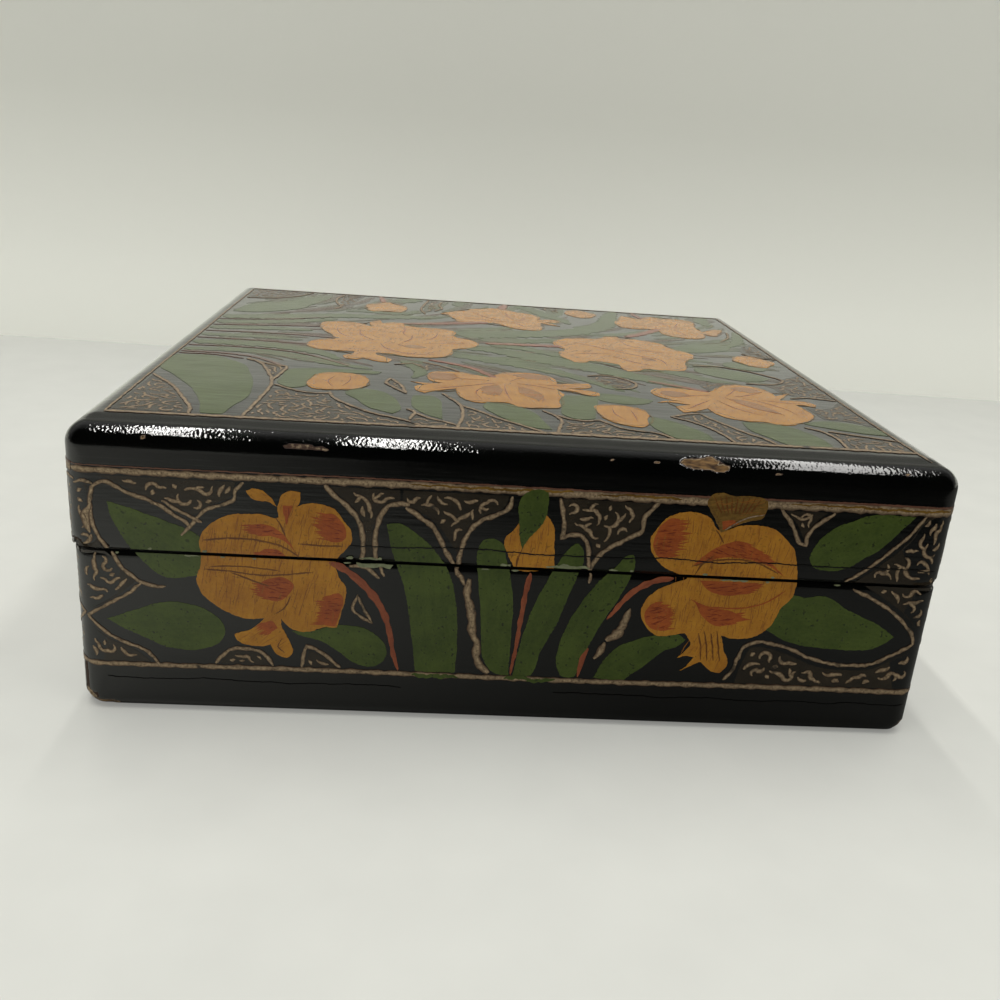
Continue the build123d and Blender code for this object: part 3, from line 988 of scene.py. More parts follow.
    # left iris
    petal([(-55, 31), (-55.2, 33), (-55, 34.5), (-53.9, 36.2), (-52, 37.8), (-49, 38.8), (-45, 39),
        (-42, 38.5), (-40.5, 39.2), (-39, 40.6), (-37, 41.3), (-34.5, 41.4), (-32.5, 40.5), (-30.8, 38.5),
        (-29.6, 36.8), (-29.4, 35.2), (-30.2, 33.5), (-31.5, 32), (-32.3, 30.9), (-32, 29), (-31.3, 27.5),
        (-30.3, 26.2), (-30.2, 24.5), (-30.6, 22.5), (-31.2, 20), (-31.7, 18.2), (-34, 18), (-36, 17.3),
        (-38, 17), (-39.8, 17.6), (-41.2, 19), (-42.2, 20.4), (-45, 19.2), (-47.5, 19.2), (-50, 19.9),
        (-52.5, 21.3), (-54.5, 23), (-55.6, 24.8), (-55.9, 26.8), (-55.2, 29)], 80)
    petal([(-47.3, 43.2), (-46.8, 42.2), (-45.4, 41.4), (-43.6, 41.4), (-42.2, 40.5), (-42.9, 41.8),
        (-44.5, 43.2), (-46.2, 43.5)], -30)
    petal([(-41.9, 38), (-41.9, 41), (-41, 43), (-39.8, 43.5), (-38.3, 43.3), (-38.2, 42), (-39, 40.2),
        (-39.8, 38.4)], 75)
    petal([(-44.5, 19.3), (-46.3, 17.3), (-49.6, 16), (-49.4, 15.2), (-47.5, 14), (-45, 13.8), (-43.3, 14.3),
        (-42.8, 13), (-41.8, 12), (-40, 11.8), (-39.4, 13), (-40, 15), (-41.2, 17.5), (-42, 20.4),
        (-43.2, 20.6)], 45, 0.066)
    red([(-34.5, 39.5), (-33, 39.8), (-31.3, 38.5), (-30.4, 36.6), (-30.6, 35.3), (-31.5, 34.6),
        (-33.3, 34.8), (-34, 35.5)], [(-34.2, 39.6), (-34.5, 37.5), (-33.6, 35)], (-1.9, 0.25))
    red([(-47, 37), (-44, 37.2), (-41.5, 36), (-39.8, 33.8), (-38.6, 31.8), (-40.8, 34.3), (-43.5, 35.2),
        (-46, 35.8)], [(-47, 36.9), (-46, 35.8), (-44, 35.3)], (-1.6, -0.15))
    red([(-45.8, 31.4), (-44.5, 32.5), (-42.9, 32.8), (-41, 32), (-40.3, 31.0), (-43, 30.9)], [(-45.4, 31.6),
        (-43.5, 32.6)], (-1.1, 0.1))
    red([(-45.6, 25.8), (-43.5, 27), (-40.5, 27.2), (-39.3, 26), (-40, 24.3), (-42, 22.8), (-44, 23.2),
        (-45, 24.3)], [(-45.5, 25.9), (-45.3, 24.3), (-43.8, 23.2)], (-1.3, 0.1))
    red([(-34.4, 18.6), (-32, 18.3), (-31.2, 21), (-30.9, 24.3), (-31.4, 24.8), (-33.4, 24), (-34.2, 21.4)],
        [(-33.3, 24.1), (-34.1, 21.4), (-34.5, 18.7)], (-1.8, -0.1))
    red([(-45, 18.3), (-43, 18.9), (-42, 17.5), (-43.6, 16.4)], [(-45, 18.2), (-43.6, 16.4)], (-1.2, -0.7))
    red([(-41.2, 40.8), (-39.4, 40.9), (-40.4, 38)], [(-41, 40.2), (-40.4, 38.2)], (0.1, -1.4))
    fold([(-54.6, 33.8), (-50, 34.4), (-45, 34.2), (-41, 33.2), (-38.5, 31.6)], 0.30, hatched=1.5)
    fold([(-38.5, 34), (-35.5, 33.8), (-31, 33.9)], 0.26, hatched=1.2)
    fold([(-54.5, 28.3), (-50, 28.1), (-45, 27.6), (-41, 27.9), (-36, 28.6)], 0.26, hatched=1.1)
    fold([(-53.5, 28.9), (-48, 29.1), (-42, 28.6)], 0.22)
    fold([(-50, 27.9), (-46, 26.4), (-43.5, 25.6)], 0.3)
    fold([(-42.3, 38.5), (-41.4, 37), (-40.6, 34.8)], 0.3)
    fold([(-42.4, 20.4), (-40.8, 21.6), (-39.9, 23.8)], 0.24)
    fold([(-41.3, 15.6), (-42, 13.9), (-40.8, 12.6)], 0.2)

    # bud
    petal([(-1, 31.2), (-2, 33), (-3.1, 36.8), (-1.6, 38.6), (-0.8, 39.8), (0, 37), (2, 38.5), (3.6, 41.6),
        (4.9, 40), (5.6, 36), (5.9, 31.2)], 85, 0.072)
    leaf([(-0.9, 40), (-1.2, 43), (-0.3, 45.2), (1.6, 46.0), (3.6, 45.6), (3.9, 43), (3, 39.5), (1.2, 37.3),
        (0, 34.8), (-0.6, 37.2)], 75, 0.125)
    fold([(0, 35), (-0.6, 33), (-0.8, 31.4)], 0.35)

    # right iris
    petal([(30, 31.2), (28.5, 31.5), (27, 32), (24.5, 33.5), (22.7, 36), (22.4, 38), (23.2, 40),
        (25.2, 42.3), (27.8, 43.3), (30.5, 43.2), (32.8, 42), (34, 40.4), (35, 40.2), (38, 41.3), (41, 41.5),
        (44, 40.9), (46.5, 39.2), (48.3, 37), (49.2, 34.5), (49.8, 31.5), (49.9, 30.2), (49.6, 28),
        (47.8, 25.5), (47, 23), (45.5, 20.8), (43, 19.4), (40, 19.2), (37.5, 19.7), (35.8, 20), (33, 19.9),
        (30.5, 19.8), (28.5, 19.3), (25.5, 19.3), (23.2, 21.5), (22.4, 23.5), (23, 26), (25, 28.3),
        (28, 29.8), (29.8, 30.6)], 85)
    petal([(33.6, 41.5), (32.3, 43.6), (31.5, 45), (32, 46.6), (34, 47.2), (36, 46.6), (39, 46.9), (42, 46),
        (42.1, 44), (41.5, 42.8), (39.5, 42.3), (36.5, 40.9), (34.6, 39.9)], 10, 0.118, "dull_petal")
    petal([(30.5, 20.4), (32.3, 17.5), (31.5, 16.2), (30.2, 14.8), (32, 15.3), (33.2, 14.9), (32.4, 13.4),
        (31, 12.2), (33, 13.2), (34.6, 14.2), (36.5, 12.5), (38.5, 12), (39.8, 13.8), (38.5, 17),
        (37.3, 20.2), (34, 20.8)], 70, 0.066)
    red([(25.5, 42), (27, 42), (27.2, 40), (27, 37), (26.4, 34.8), (24.4, 34.5), (23, 36.5), (23.2, 39),
        (24.2, 41)], [(27, 41.6), (27.2, 38), (26.3, 34.9)], (1.9, 0.2))
    red([(30.5, 33.4), (33, 36), (36, 37.9), (39, 38.3), (41, 37), (44, 35), (47.5, 31.8), (44, 34),
        (41, 34.8), (38, 35.2), (35, 35), (32.5, 34)], [(39, 38.1), (41, 37), (44, 35)], (1.6, -0.35))
    red([(25, 25.8), (27, 24.5), (27.8, 22), (27.5, 20.3), (25.5, 20.2), (23.8, 21.3), (23.1, 23.5),
        (23.8, 25)], [(25.2, 25.7), (27.3, 24), (27.5, 20.5)], (1.4, 0.35))
    red([(32.2, 30.4), (34, 28.6), (37.5, 27.7), (41, 28.5), (43, 30.4)], [(37, 27.9), (41, 28.5), (43, 30)],
        (1.4, 0.15))
    red([(32, 26), (35, 25.2), (39, 24.6), (41, 23.6), (39, 22), (36, 21.7), (33.8, 23.3)], [(40.5, 24.2),
        (40.8, 23.4), (38.8, 22)], (1.8, 0.1))
    red([(34.5, 41.9), (36.6, 42.2), (37.5, 41.6), (34.8, 40.4)], None, None, 0.128)
    fold([(31.3, 26.6), (33, 25.7), (37, 25.2), (41, 25.4), (45, 26.7), (48, 29)], 0.24, "red", hatched=0.8)
    fold([(30.4, 33.2), (34, 34.4), (38, 34.9), (42, 34.4), (46, 32.6)], 0.28, hatched=1.0)
    fold([(31, 31.5), (32, 33.4), (34, 35.4)], 0.28)
    fold([(33.6, 40.4), (34.8, 38.8), (35.4, 37.8)], 0.28)
    fold([(41.8, 43.6), (38.5, 42.6), (35.2, 40.4)], 0.3, "gold", 0.13)
    for index in range(9):
        fold([(32.4 + index * 1.05, 46.6), (33.2 + index * 0.85, 45.0), (34.2 + index * 0.6, 43.4)],
            0.28, "fold", 0.128)
    for index in range(4):
        fold([(33.2 + index * 1.2, 20.6), (34.2 + index * 1.1, 17.5), (34.6 + index * 1.2, 14.4)],
            0.3, "fold", 0.075)

    # gold contours
    gold([(-70.5, 31.2), (-71.8, 33.5), (-72.8, 36), (-73, 38), (-72.8, 41), (-72, 43), (-70.5, 43.5),
        (-69, 43), (-67, 41.8), (-64, 40.8), (-61.5, 39.7), (-59.5, 38.3), (-57.5, 37), (-56.6, 36.3)], 0.7)
    gold([(-61.2, 40.7), (-59, 39.2), (-56.5, 38), (-54.8, 37)], 0.6)
    gold([(-58.2, 34.4), (-56.5, 36.5), (-55, 38.3), (-53.5, 39.6), (-51, 40.5), (-49.3, 41.5), (-49, 43),
        (-47.7, 44.6)], 0.65)
    gold([(-75.7, 43), (-74, 43.5), (-72.5, 43)], 0.6)
    gold([(-73, 39.5), (-73.9, 37), (-73.3, 34.3)], (1.0, 1.5, 0.8))
    gold([(-70, 31), (-69, 28.8), (-67, 26.5), (-65, 25.2), (-63, 24.7), (-61.3, 24.6)],
        0.7, 0.10, (0.6, 0.2))
    gold([(-65.2, 25.2), (-68, 22.8), (-71, 21), (-74.7, 18.5), (-73, 16.6), (-71, 14.9), (-69, 13.7),
        (-67, 13), (-65, 12), (-63.3, 10.2), (-62.6, 8.8)], 0.6)
    gold([(-53, 10.0), (-51.5, 12), (-50, 13), (-47.5, 13.2), (-45.3, 12.8), (-43.8, 11.5), (-42.8, 10.0)],
        0.7)
    gold([(-37.8, 9.8), (-37.3, 13), (-37, 14.2), (-35, 13.4), (-33, 12), (-31, 10.0)], 0.7)
    gold([(-34.2, 44.8), (-33, 43.5), (-31, 41.8), (-29.2, 40), (-28, 37.8), (-27.5, 35), (-27.6, 31.4)],
        0.9)
    gold([(-19.8, 42), (-21.5, 42.2), (-23, 41.9), (-24.5, 40), (-25.3, 37.5), (-25.4, 34), (-25.2, 31.4)],
        0.9)
    gold([(-20.5, 41.6), (-18, 40), (-15.5, 38), (-14, 35.5), (-12.8, 33), (-11.6, 31.4)], 0.9)
    gold([(-2.3, 44.5), (-3, 42.2), (-5, 41), (-7.5, 39.8), (-9.5, 37.5), (-10.5, 34.5), (-11, 31.4),
        (-11.2, 30.4), (-10, 28.5), (-9.6, 27.5)], 0.85)
    gold([(-8.8, 28.6), (-9, 26), (-8.3, 23), (-7.8, 20.9), (-7.6, 18), (-6.6, 16), (-6.7, 14), (-6, 12),
        (-4.2, 10.0)], (1.1, 1.4, 1.7, 1.2, 1.5, 1.1), 0.10, (0.6, 0.6))
    gold([(-29.8, 30.2), (-27, 30.0), (-24.5, 28)], 0.8)
    gold([(-24.4, 30.4), (-23.7, 28.3)], 0.7)
    gold([(-28.2, 24.6), (-29, 21.8), (-25.6, 19.3), (-27, 22), (-28.2, 24.4)], 0.55)
    gold([(5.8, 44.6), (6.6, 42), (6.9, 39.5), (6.8, 37.2), (8.5, 38.1), (10, 38), (11.3, 36.5), (11.8, 34),
        (12.2, 31.5)], 0.8)
    gold([(12.3, 31.4), (13.3, 34), (15.5, 36), (18.5, 38), (20.7, 39.5), (20.8, 42), (22, 43.5),
        (23.2, 44.9)], 0.85)
    gold([(12.2, 31.6), (12.6, 29.6), (12.4, 28.8)], 0.6)
    gold([(14.8, 14), (16, 15.6), (16.5, 17.3)], (0.9, 1.3, 0.9))
    gold([(16.7, 17.8), (18.5, 19), (19.5, 21), (20.3, 24.3)], (1.5, 1.7, 1.5, 0.7))
    gold([(70.9, 44.7), (69, 41.5), (66, 38), (63, 35), (60.5, 32.8), (58.5, 31.6)], 0.6, 0.10, (0.5, 0.2))
    gold([(44.5, 44.9), (46.2, 43), (47.8, 40.8), (48.9, 38.6), (50.2, 38.2), (50.2, 40), (51.8, 42.3),
        (54.5, 44.5)], 0.75)
    gold([(46.5, 44), (49, 43), (50.5, 44)], 0.5)
    gold([(60.5, 30), (64, 28.5), (68, 26.3), (71.5, 23.5), (73.5, 21), (74, 19.5), (72.5, 18.4), (70, 16.8),
        (67, 15.1), (63, 14.6), (58, 15), (54.5, 16), (51.5, 17.3), (48, 18.3), (44.5, 18.6), (42.3, 17.5),
        (41.5, 15), (40.8, 12.5), (39.3, 10.6)], 0.7, 0.10, (0.3, 0.4))

    # brown cells and their scrolls
    cell([(-71.5, 44.6), (-49, 44.6), (-49.8, 42), (-53, 40.3), (-56.5, 38.3), (-60, 39.8), (-65, 41.6),
        (-69, 43.6)], 11)
    cell([(-75.8, 42.8), (-73.4, 42.8), (-73.2, 38), (-72.4, 34), (-71.2, 31), (-75.6, 31)], 12)
    cell([(-75.5, 30.6), (-71, 30.8), (-70.2, 30), (-66, 25.6), (-69.5, 22.6), (-75, 19.2)], 13)
    cell([(-75, 17.5), (-71.5, 14.3), (-67, 12.2), (-64.2, 9.8), (-75, 9.8)], 14)
    cell([(-52.3, 10), (-50.5, 12.4), (-47.5, 12.8), (-45.3, 12.2), (-43.4, 10)], 15, 1.45, 0.55)
    cell([(-37.3, 10), (-36.6, 13.4), (-33.6, 11.9), (-31.6, 10)], 16, 1.45, 0.55)
    cell([(-33.5, 44.6), (-21.5, 44.6), (-21.5, 42.6), (-24.0, 41.5), (-25.6, 38.5), (-25.8, 31.4),
        (-27.2, 31.4), (-27.2, 37), (-29, 40.8), (-31, 42.5)], 17)
    cell([(-21, 44.6), (-3.0, 44.6), (-3.4, 42.9), (-7.8, 40.2), (-10.4, 36.4), (-11.2, 33.5), (-13.2, 36.5),
        (-15.2, 39), (-18.5, 41.2), (-21, 42.4)], 18)
    cell([(6.2, 44.6), (22.6, 44.6), (20.4, 42.4), (20.2, 39.8), (16, 36.9), (12.6, 34), (11.8, 37),
        (9.5, 38.7), (7.3, 38.3)], 19)
    cell([(45.6, 44.5), (48, 42), (49.5, 39.5), (51.5, 43), (53, 44.5)], 20, 1.45, 0.55)
    cell([(71.5, 44.6), (75.4, 44.6), (75.4, 31.2), (60.5, 31.6), (65, 35.5), (69, 40)], 21)
    cell([(62.5, 30.8), (75.3, 30.8), (75.3, 20.5), (74, 22.5), (71, 25.5), (66.5, 28.5)], 22)
    cell([(41.6, 10), (42.6, 15), (43.6, 17.4), (48, 17.2), (52, 15.8), (56, 14.2), (63, 13.6), (67, 14),
        (70.5, 16), (74.8, 18.5), (75, 10)], 23, 1.9, 0.8)

    # border lines, the upper one edged in dull red
    edge = border_end * stretch
    for kind, height, width, lift in (("gold", 45.55, (1.1, 1.45, 1.8), gold_height),
                                      ("dull_stem", 46.35, (0.15, 0.25, 0.35), 0.108),
                                      ("gold", 9.3, (0.9, 1.0, 1.1), gold_height)):
        line = [(u * stretch, height + 0.12 * math.sin(u * 0.07 + seed + height)) for u in range(-60, 61, 20)]
        stroke(face, kind, [(-edge, height - 0.05), *line, (edge, height)], width, lift, (0.8, 0.8), 0.06,
               seed + int(height), 0.6)

    # what years of use have left: paint chipped along the seam, hairline cracks over the joints in the board
    hand = random.Random(seed + 60)
    chips = [(-57.2, 30.7), (-51.4, 30.75), (-46, 30.7), (-3, 31.75), (5, 31.8), (36.5, 30.7), (40.2, 30.75),
             (44.5, 30.7), (33, 31.7), (-24.5, 31.8)]
    chips += [(hand.uniform(-73, 73), hand.choice((base_edge, lid_edge))) for _ in range(12)]
    for u, v in chips:
        long = hand.uniform(0.25, 0.9)
        high = hand.uniform(0.14, 0.3)
        flake = []
        for turn in (0.2, 1.0, 1.9, 3.0, 4.1, 5.2):
            reach, rise = hand.uniform(0.6, 1.2), hand.uniform(0.6, 1.2)
            flake.append((u + long * math.cos(turn) * reach, v + high * math.sin(turn) * rise))
        shape(face, "chip", at(flake), chip_height, 0, 0.02, seed)
    for first, last, height, width in ((-30, 75, 34.3, 0.20), (-72, -20, 6.6, 0.10), (8, 75, 6.4, 0.2)):
        crack = [(u, height + hand.uniform(-0.25, 0.25)) for u in np.linspace(first, last, 14)]
        stroke(face, "crack", at(crack), width, crack_height, (0.3, 0.3), 0.10, seed + 61)


iris_wall("front", 1.0, False, 0.0, 1)
iris_wall("back", 1.0, True, 0.8, 4)
iris_wall("left", 1.055, True, 0.9, 7)
iris_wall("right", 1.055, False, 0.9, 11)

# green that strayed over the front's lower border line
for smear in ([(-18, 9.3), (-15, 9.0), (-13, 9.6)], [(-14, 8.8), (-11, 9.2), (-9.6, 9.0)],
              [(-1.2, 9.2), (1.6, 9.5), (4.0, 9.1)], [(3.0, 8.8), (5.6, 9.0), (8.2, 9.4)]):
    stroke("front", "leaf", smear, (0.5, 0.9, 0.4), 0.122, (0.3, 0.2), 0.15, 71)

# ochre laid again over the right end of the front's upper border, and wider scuffs along its seam
for patch in ([(46, 45.75), (56, 45.8), (66, 45.6), (75.6, 45.7)], [(-20, 45.8), (-6, 45.7), (8, 45.9)],
              [(12, 45.6), (20, 45.8), (27, 45.6)]):
    stroke("front", "dull_petal", patch, (0.2, 0.45, 0.4), 0.125, (0.3, 0.3), 0.16, 73)
for u, v, long in ((-26.2, 31.75, 1.9), (6.4, 31.8, 1.8), (8.6, 31.75, 0.9), (-6.1, 30.68, 0.7),
                   (-56.5, 30.7, 1.2), (38.4, 30.7, 2.6), (16.5, 31.7, 0.8)):
    scuff = [(u - long, v), (u - long * 0.3, v + 0.12), (u + long, v - 0.02)]
    stroke("front", "chip", scuff, (0.2, 0.42, 0.12), chip_height, (0.3, 0.3), 0.06, 75)
for patch in ([(-28.6, 30.75), (-25, 30.8), (-22.2, 30.7), (-22.7, 29.9), (-24, 30.25), (-26, 29.9),
               (-28, 30.2)],
              [(6.6, 31.75), (9.5, 31.7), (12.4, 31.8), (11.5, 32.2), (9, 32.15), (7.4, 32.4)]):
    shape("front", "chip", patch, chip_height, 0, 0.12, 81)

# -----------------------------------------------------------------------------------------------------------
# The painted top: six irises and five buds on long red stems and blades that fan out from the left edge.
# Along the front and right, gold contours hold brown cells of scrolls. A gold line frames it all.

bud_height = 0.075
blade_height = 0.045
wash_height = 0.017
vein_height = 0.04
stem_height = 0.08
crease_height = 0.085


def top_leaf(points, angle):
    shape("top", "leaf", points, leaf_height, angle, 0.10, 31)


def top_blade(spine, widths):
    stroke("top", "leaf", spine, widths, blade_height, (0.35, 0.15), 0.05, 33, 0.9)


def top_petal(points, angle, lift=petal_height):
    shape("top", "petal", points, lift, angle, 0.12, 35)
    rim = [points[i] for i in range(0, len(points), 2)]
    stroke("top", "dull_petal", rim + rim[:1], 0.22, lift + 0.012, (0.5, 0.5), 0.25, 38 + len(points), 0.9)


def top_gold(points, width=0.75):
    stroke("top", "gold", points, width, gold_height, (0.5, 0.4), 0.10, 37 + len(points))


def top_fold(points, width, kind, lift):
    stroke("top", kind, points, width, lift, (0.3, 0.2), 0.06, 39 + len(points))


def top_stem(points, width, kind="stem"):
    top_fold(points, width, kind, stem_height)


# under everything, thin washes of dull green and umber that follow the fan of the blades, steeper the further
# they lie from its middle, with a fine line of red or gold in some of them
wash_count = 380
wash_step = 2.8
fan_middle = 8
fan_spread = 1.3
fan_steepest = 75
fan = random.Random(77)
for number in range(wash_count):
    u = fan.uniform(-72, 69)
    v = fan.uniform(-34, 74)
    lowest = -24 if u < -25 else (-34 if u < 25 else -24)
    path = []
    for _ in range(fan.randint(4, 9)):
        if u > 71 or v > 74.6 or v < lowest:
            break
        path.append((u, v))
        slope = max(-fan_steepest, min(fan_steepest, fan_spread * (v - fan_middle)))
        way = math.radians(slope + fan.uniform(-4, 4))
        u += wash_step * math.cos(way)
        v += wash_step * math.sin(way)
    if len(path) < 3:
        continue
    tone = fan.choice(("deep_leaf", "leaf", "umber") if path[0][0] > -35 else ("deep_leaf", "umber"))
    wide = fan.uniform(1.6, 3.6)
    stroke("top", tone, path, (wide * 0.6, wide, wide * 0.4), wash_height, (0.3, 0.15), 0.09,
           500 + number, 1.2)
    if number % 2 == 0 or path[0][0] < -12:
        tone = "dull_stem" if path[0][0] < 0 or number % 4 else "gold"
        stroke("top", tone, path[1:], fan.uniform(0.2, 0.42), vein_height, (0.4, 0.3), 0.15,
               800 + number, 1.0)

# the great leaf at the left, and the leaves along the front
top_leaf([(-72.3, -23.5), (-64, -23), (-60, -26), (-56.5, -30), (-54.5, -36), (-52.8, -42), (-51.6, -50),
    (-51.3, -57), (-52.6, -63), (-53.5, -69.2), (-57, -69.2), (-58.5, -63), (-60.5, -57), (-63, -51),
    (-66, -46), (-69, -41), (-72.3, -36.5)], 105)
top_leaf([(-46.5, -31), (-43, -29.5), (-37, -28.6), (-31, -28.2), (-27.8, -29), (-28.6, -31), (-33, -31.6),
    (-38, -32), (-40.6, -34), (-42, -40), (-42.4, -46), (-44.5, -47.3), (-47, -45), (-47.6, -38)], 80)
top_leaf([(-33.8, -48), (-31, -54), (-28.5, -59), (-24, -62.5), (-22.8, -60), (-23.3, -54), (-25, -49),
    (-28, -45.5), (-31.5, -45)], 120)
top_leaf([(-20.5, -48), (-17, -47.5), (-15.5, -50), (-15, -57), (-14.8, -64.5), (-17.5, -62), (-20, -58),
    (-20.8, -53)], 100)
top_leaf([(-6, -50), (-3, -50), (0, -52), (3, -57), (4, -62), (5, -67.5), (1.5, -66.5), (-3, -62),
    (-5.5, -57.5), (-7, -53.5)], 125)
top_leaf([(9, -41), (14.5, -40), (17.5, -40.5), (16.5, -46), (15.2, -52), (14.8, -55), (14, -58), (11, -59),
    (8.5, -56.5), (8.8, -50), (9.0, -45)], 95)
top_leaf([(17.5, -36.5), (24, -38), (29, -40.5), (27, -43.5), (22, -45), (17.5, -43)], -15)
top_leaf([(26, -54), (29, -56), (32, -60), (34.5, -65), (34.8, -69), (28.5, -69), (25.5, -64), (24.5, -59)],
    115)
top_leaf([(44, -54), (50, -54), (53, -56), (55.5, -60), (57, -65), (57, -69.2), (49, -69.2), (46, -64),
    (44, -60)], 110)
top_leaf([(57, -52.5), (60, -50.5), (64, -49.5), (68, -51), (71.8, -54.5), (71.8, -58.5), (67, -57.5),
    (61, -55), (57.5, -53)], 160)
top_leaf([(46, -5), (50, -3.5), (55, -4.5), (60, -8), (62.5, -12), (60, -15), (54, -15.5), (49, -12.5),
    (46, -9)], -25)
top_leaf([(45, 19), (49, 24), (54, 28), (60, 28.5), (64, 26.5), (61, 21), (56, 17.5), (50, 15)], 25)
top_leaf([(56, 4.5), (59, 6), (60.5, 3), (63, 1), (66, 0.5), (64, -3), (59, -3), (55, 0.5)], 0)
top_leaf([(-71.2, 34), (-70.2, 41.7), (-68.3, 47.5), (-62.5, 52.3), (-58.6, 58), (-55.7, 63.8),
    (-51.8, 69.5), (-48.4, 73.4), (-48.4, 65.7), (-50.9, 57), (-52.8, 50.4), (-53.8, 45.6), (-56.7, 41.7),
    (-60.5, 37.9), (-65.4, 34.5)], 55)

# blades that fan out from the left edge and run on between the flowers
top_blade([(-72.2, 25.4), (-60.5, 29.3), (-50.9, 33.6), (-41.2, 37.9), (-31.5, 39.3), (-21.8, 42.2),
    (-14, 46)], (5, 6.5, 6, 5, 2))
top_blade([(-72.2, 17.5), (-64, 20), (-55, 23.5), (-48, 28), (-43, 31.5)], (4, 4.5, 4, 2))
top_blade([(-42, 45.5), (-37, 47), (-31, 46.5), (-25, 48.5), (-22, 54)], (2, 3.4, 3, 1.5))
top_blade([(-29, 66), (-26, 70), (-22, 74.5)], (3, 6, 5))
top_blade([(-72.2, 9.5), (-64, 11.5), (-56, 13.2), (-47.5, 13.5)], (3.5, 4.2, 4, 2.5))
top_blade([(-72.2, 0.5), (-64, 1.2), (-56, 1.4), (-48.2, 0.5)], (3, 3.6, 3.4, 2))
top_blade([(-72.2, -8.5), (-66, -7.8), (-58, -7.4), (-49, -9.5), (-42, -13.5), (-37.8, -19)],
    (4, 5.5, 5.5, 4.5, 1.5))
top_blade([(-72.2, -17), (-64, -15.5), (-55, -15.5), (-47, -18.5), (-39, -23), (-30, -26.8)],
    (3, 4, 4.5, 4, 1.5))
top_blade([(-24, -16), (-22, -20), (-19.5, -27), (-21, -33)], (1.5, 3, 3, 1.2))
top_blade([(-10.5, 19.5), (2.4, 25.4), (15, 30.2), (23.7, 36.9), (30.5, 45.6), (34.3, 56.1), (36.3, 65.7),
    (39.2, 75)], (9, 10, 8, 7, 6.5, 5, 3))
top_blade([(-5, 14.5), (3, 16), (11, 18.5), (17, 23)], (4, 5.5, 4.5, 2))
top_blade([(-9, 2), (-4, 2.6), (0.5, 0.8), (5.3, -2.4), (15, -8.2), (24.6, -14.9), (34.3, -22.5),
    (40, -27.5)], (3, 6, 8, 9, 8, 7, 5, 2))
top_blade([(-3, 8.2), (5, 7), (11, 3), (19, -2.5), (28, -7)], (2, 4, 4.5, 3.5, 1.5))
top_blade([(-12.1, -6.2), (-4, -9), (5.3, -14), (13, -20.6), (18.8, -27.3), (22, -32.5)], (4, 7, 6, 5, 3, 1))
top_blade([(8, 74.5), (13, 68), (15.5, 61), (20, 54), (22, 47)], (3, 5, 4.5, 4, 1.5))
top_blade([(-8, 75), (-10, 70), (-9, 66)], (4, 4, 2))
top_blade([(34, -8), (41, -12), (47, -17.5), (52, -19)], (2, 5, 4, 1.5))
top_blade([(66, 60), (65.5, 67), (67, 74.5)], (2, 5, 4))
top_blade([(24, 31), (31, 33.5), (38, 38), (43, 44)], (1.5, 3.5, 3, 1.5))
top_blade([(63.5, 27), (67, 33), (70, 42), (71.5, 52)], (1.5, 3.5, 3, 1))

# red stems
top_stem([(-72.2, 21.6), (-60, 25.4), (-52, 29.6), (-45, 34.5)], 0.7, "dull_stem")
top_stem([(-72.2, 13.6), (-60, 16.8), (-52, 18.5), (-45, 20)], 0.9, "dull_stem")
top_stem([(-72.2, 5.2), (-60, 6.6), (-50, 6.8), (-40, 5.6)], (0.8, 1.2, 1.6), "dull_stem")
top_stem([(-72.2, -3.4), (-62, -3.0), (-53, -3.4), (-46, -4)], 0.8, "dull_stem")
top_stem([(-72.2, -12.6), (-63, -11.6), (-54, -12.2), (-47, -14.5), (-40, -20), (-35, -25)],
    0.8, "dull_stem")
top_stem([(-72.2, -19.5), (-63, -19.4), (-56, -21.5), (-51.5, -25.5), (-48.5, -29)], 1.0, "dull_stem")
top_stem([(-72.2, -21.6), (-64, -21.4), (-58, -23.6)], 0.7, "dull_stem")
top_stem([(-18, -13.5), (-13, -16), (-8, -20), (-5, -25), (-3.4, -28)], (1.2, 1.5, 1.5))
top_stem([(-4, 10.4), (5, 11.4), (16, 12.6)], (2.0, 2.2, 2.4))
top_stem([(-25.5, 31), (-17, 34), (-9.2, 37.9), (-2, 41)], (1.6, 2.2, 2.6))
top_stem([(36, 32.5), (41, 38), (46, 45), (48.5, 48.5)], (2.2, 2.4, 2.2))
top_stem([(31.5, -22), (38, -26), (43.5, -29.5)], (1.0, 1.3, 1.2))
top_stem([(-34, 76), (-33, 70), (-32.5, 65)], (0.8, 1.6, 1.8))
top_stem([(45, 76), (45.5, 70), (46.5, 65)], (0.9, 1.5, 1.6))
top_stem([(5, 76), (4, 71), (3, 66)], (1.0, 2.4, 2.6))

# iris by the left, and its tail
top_petal([(-46.5, 23), (-46, 26), (-43, 28), (-39, 28.3), (-36, 26.5), (-33.4, 23.5), (-33.8, 31),
    (-31.6, 33.8), (-31, 29.5), (-27, 32), (-24.5, 31.2), (-25.5, 28.5), (-22, 27), (-16, 26.5), (-12, 25),
    (-11.3, 22), (-11.3, 16), (-9.5, 14.5), (-7, 12.5), (-5.8, 10), (-6.2, 6), (-8, 3), (-11, 1), (-12.3, 0),
    (-12.3, -3), (-13, -7), (-15, -10), (-19, -11.5), (-23, -11.5), (-27, -9.5), (-30.2, -9.5), (-30.2, -11),
    (-28, -13.5), (-26.3, -16.5), (-27, -19), (-29.5, -18.5), (-32.5, -16), (-34.5, -17.8), (-36.5, -17),
    (-37.3, -14.5), (-35.5, -12), (-35, -9.2), (-41, -9.3), (-43.5, -9), (-46, -6.5), (-47, -3), (-46.3, 0),
    (-44, 3), (-41, 4.3), (-41.5, 6), (-42, 8.5), (-43.5, 12), (-45, 15), (-46.3, 20)], 85)
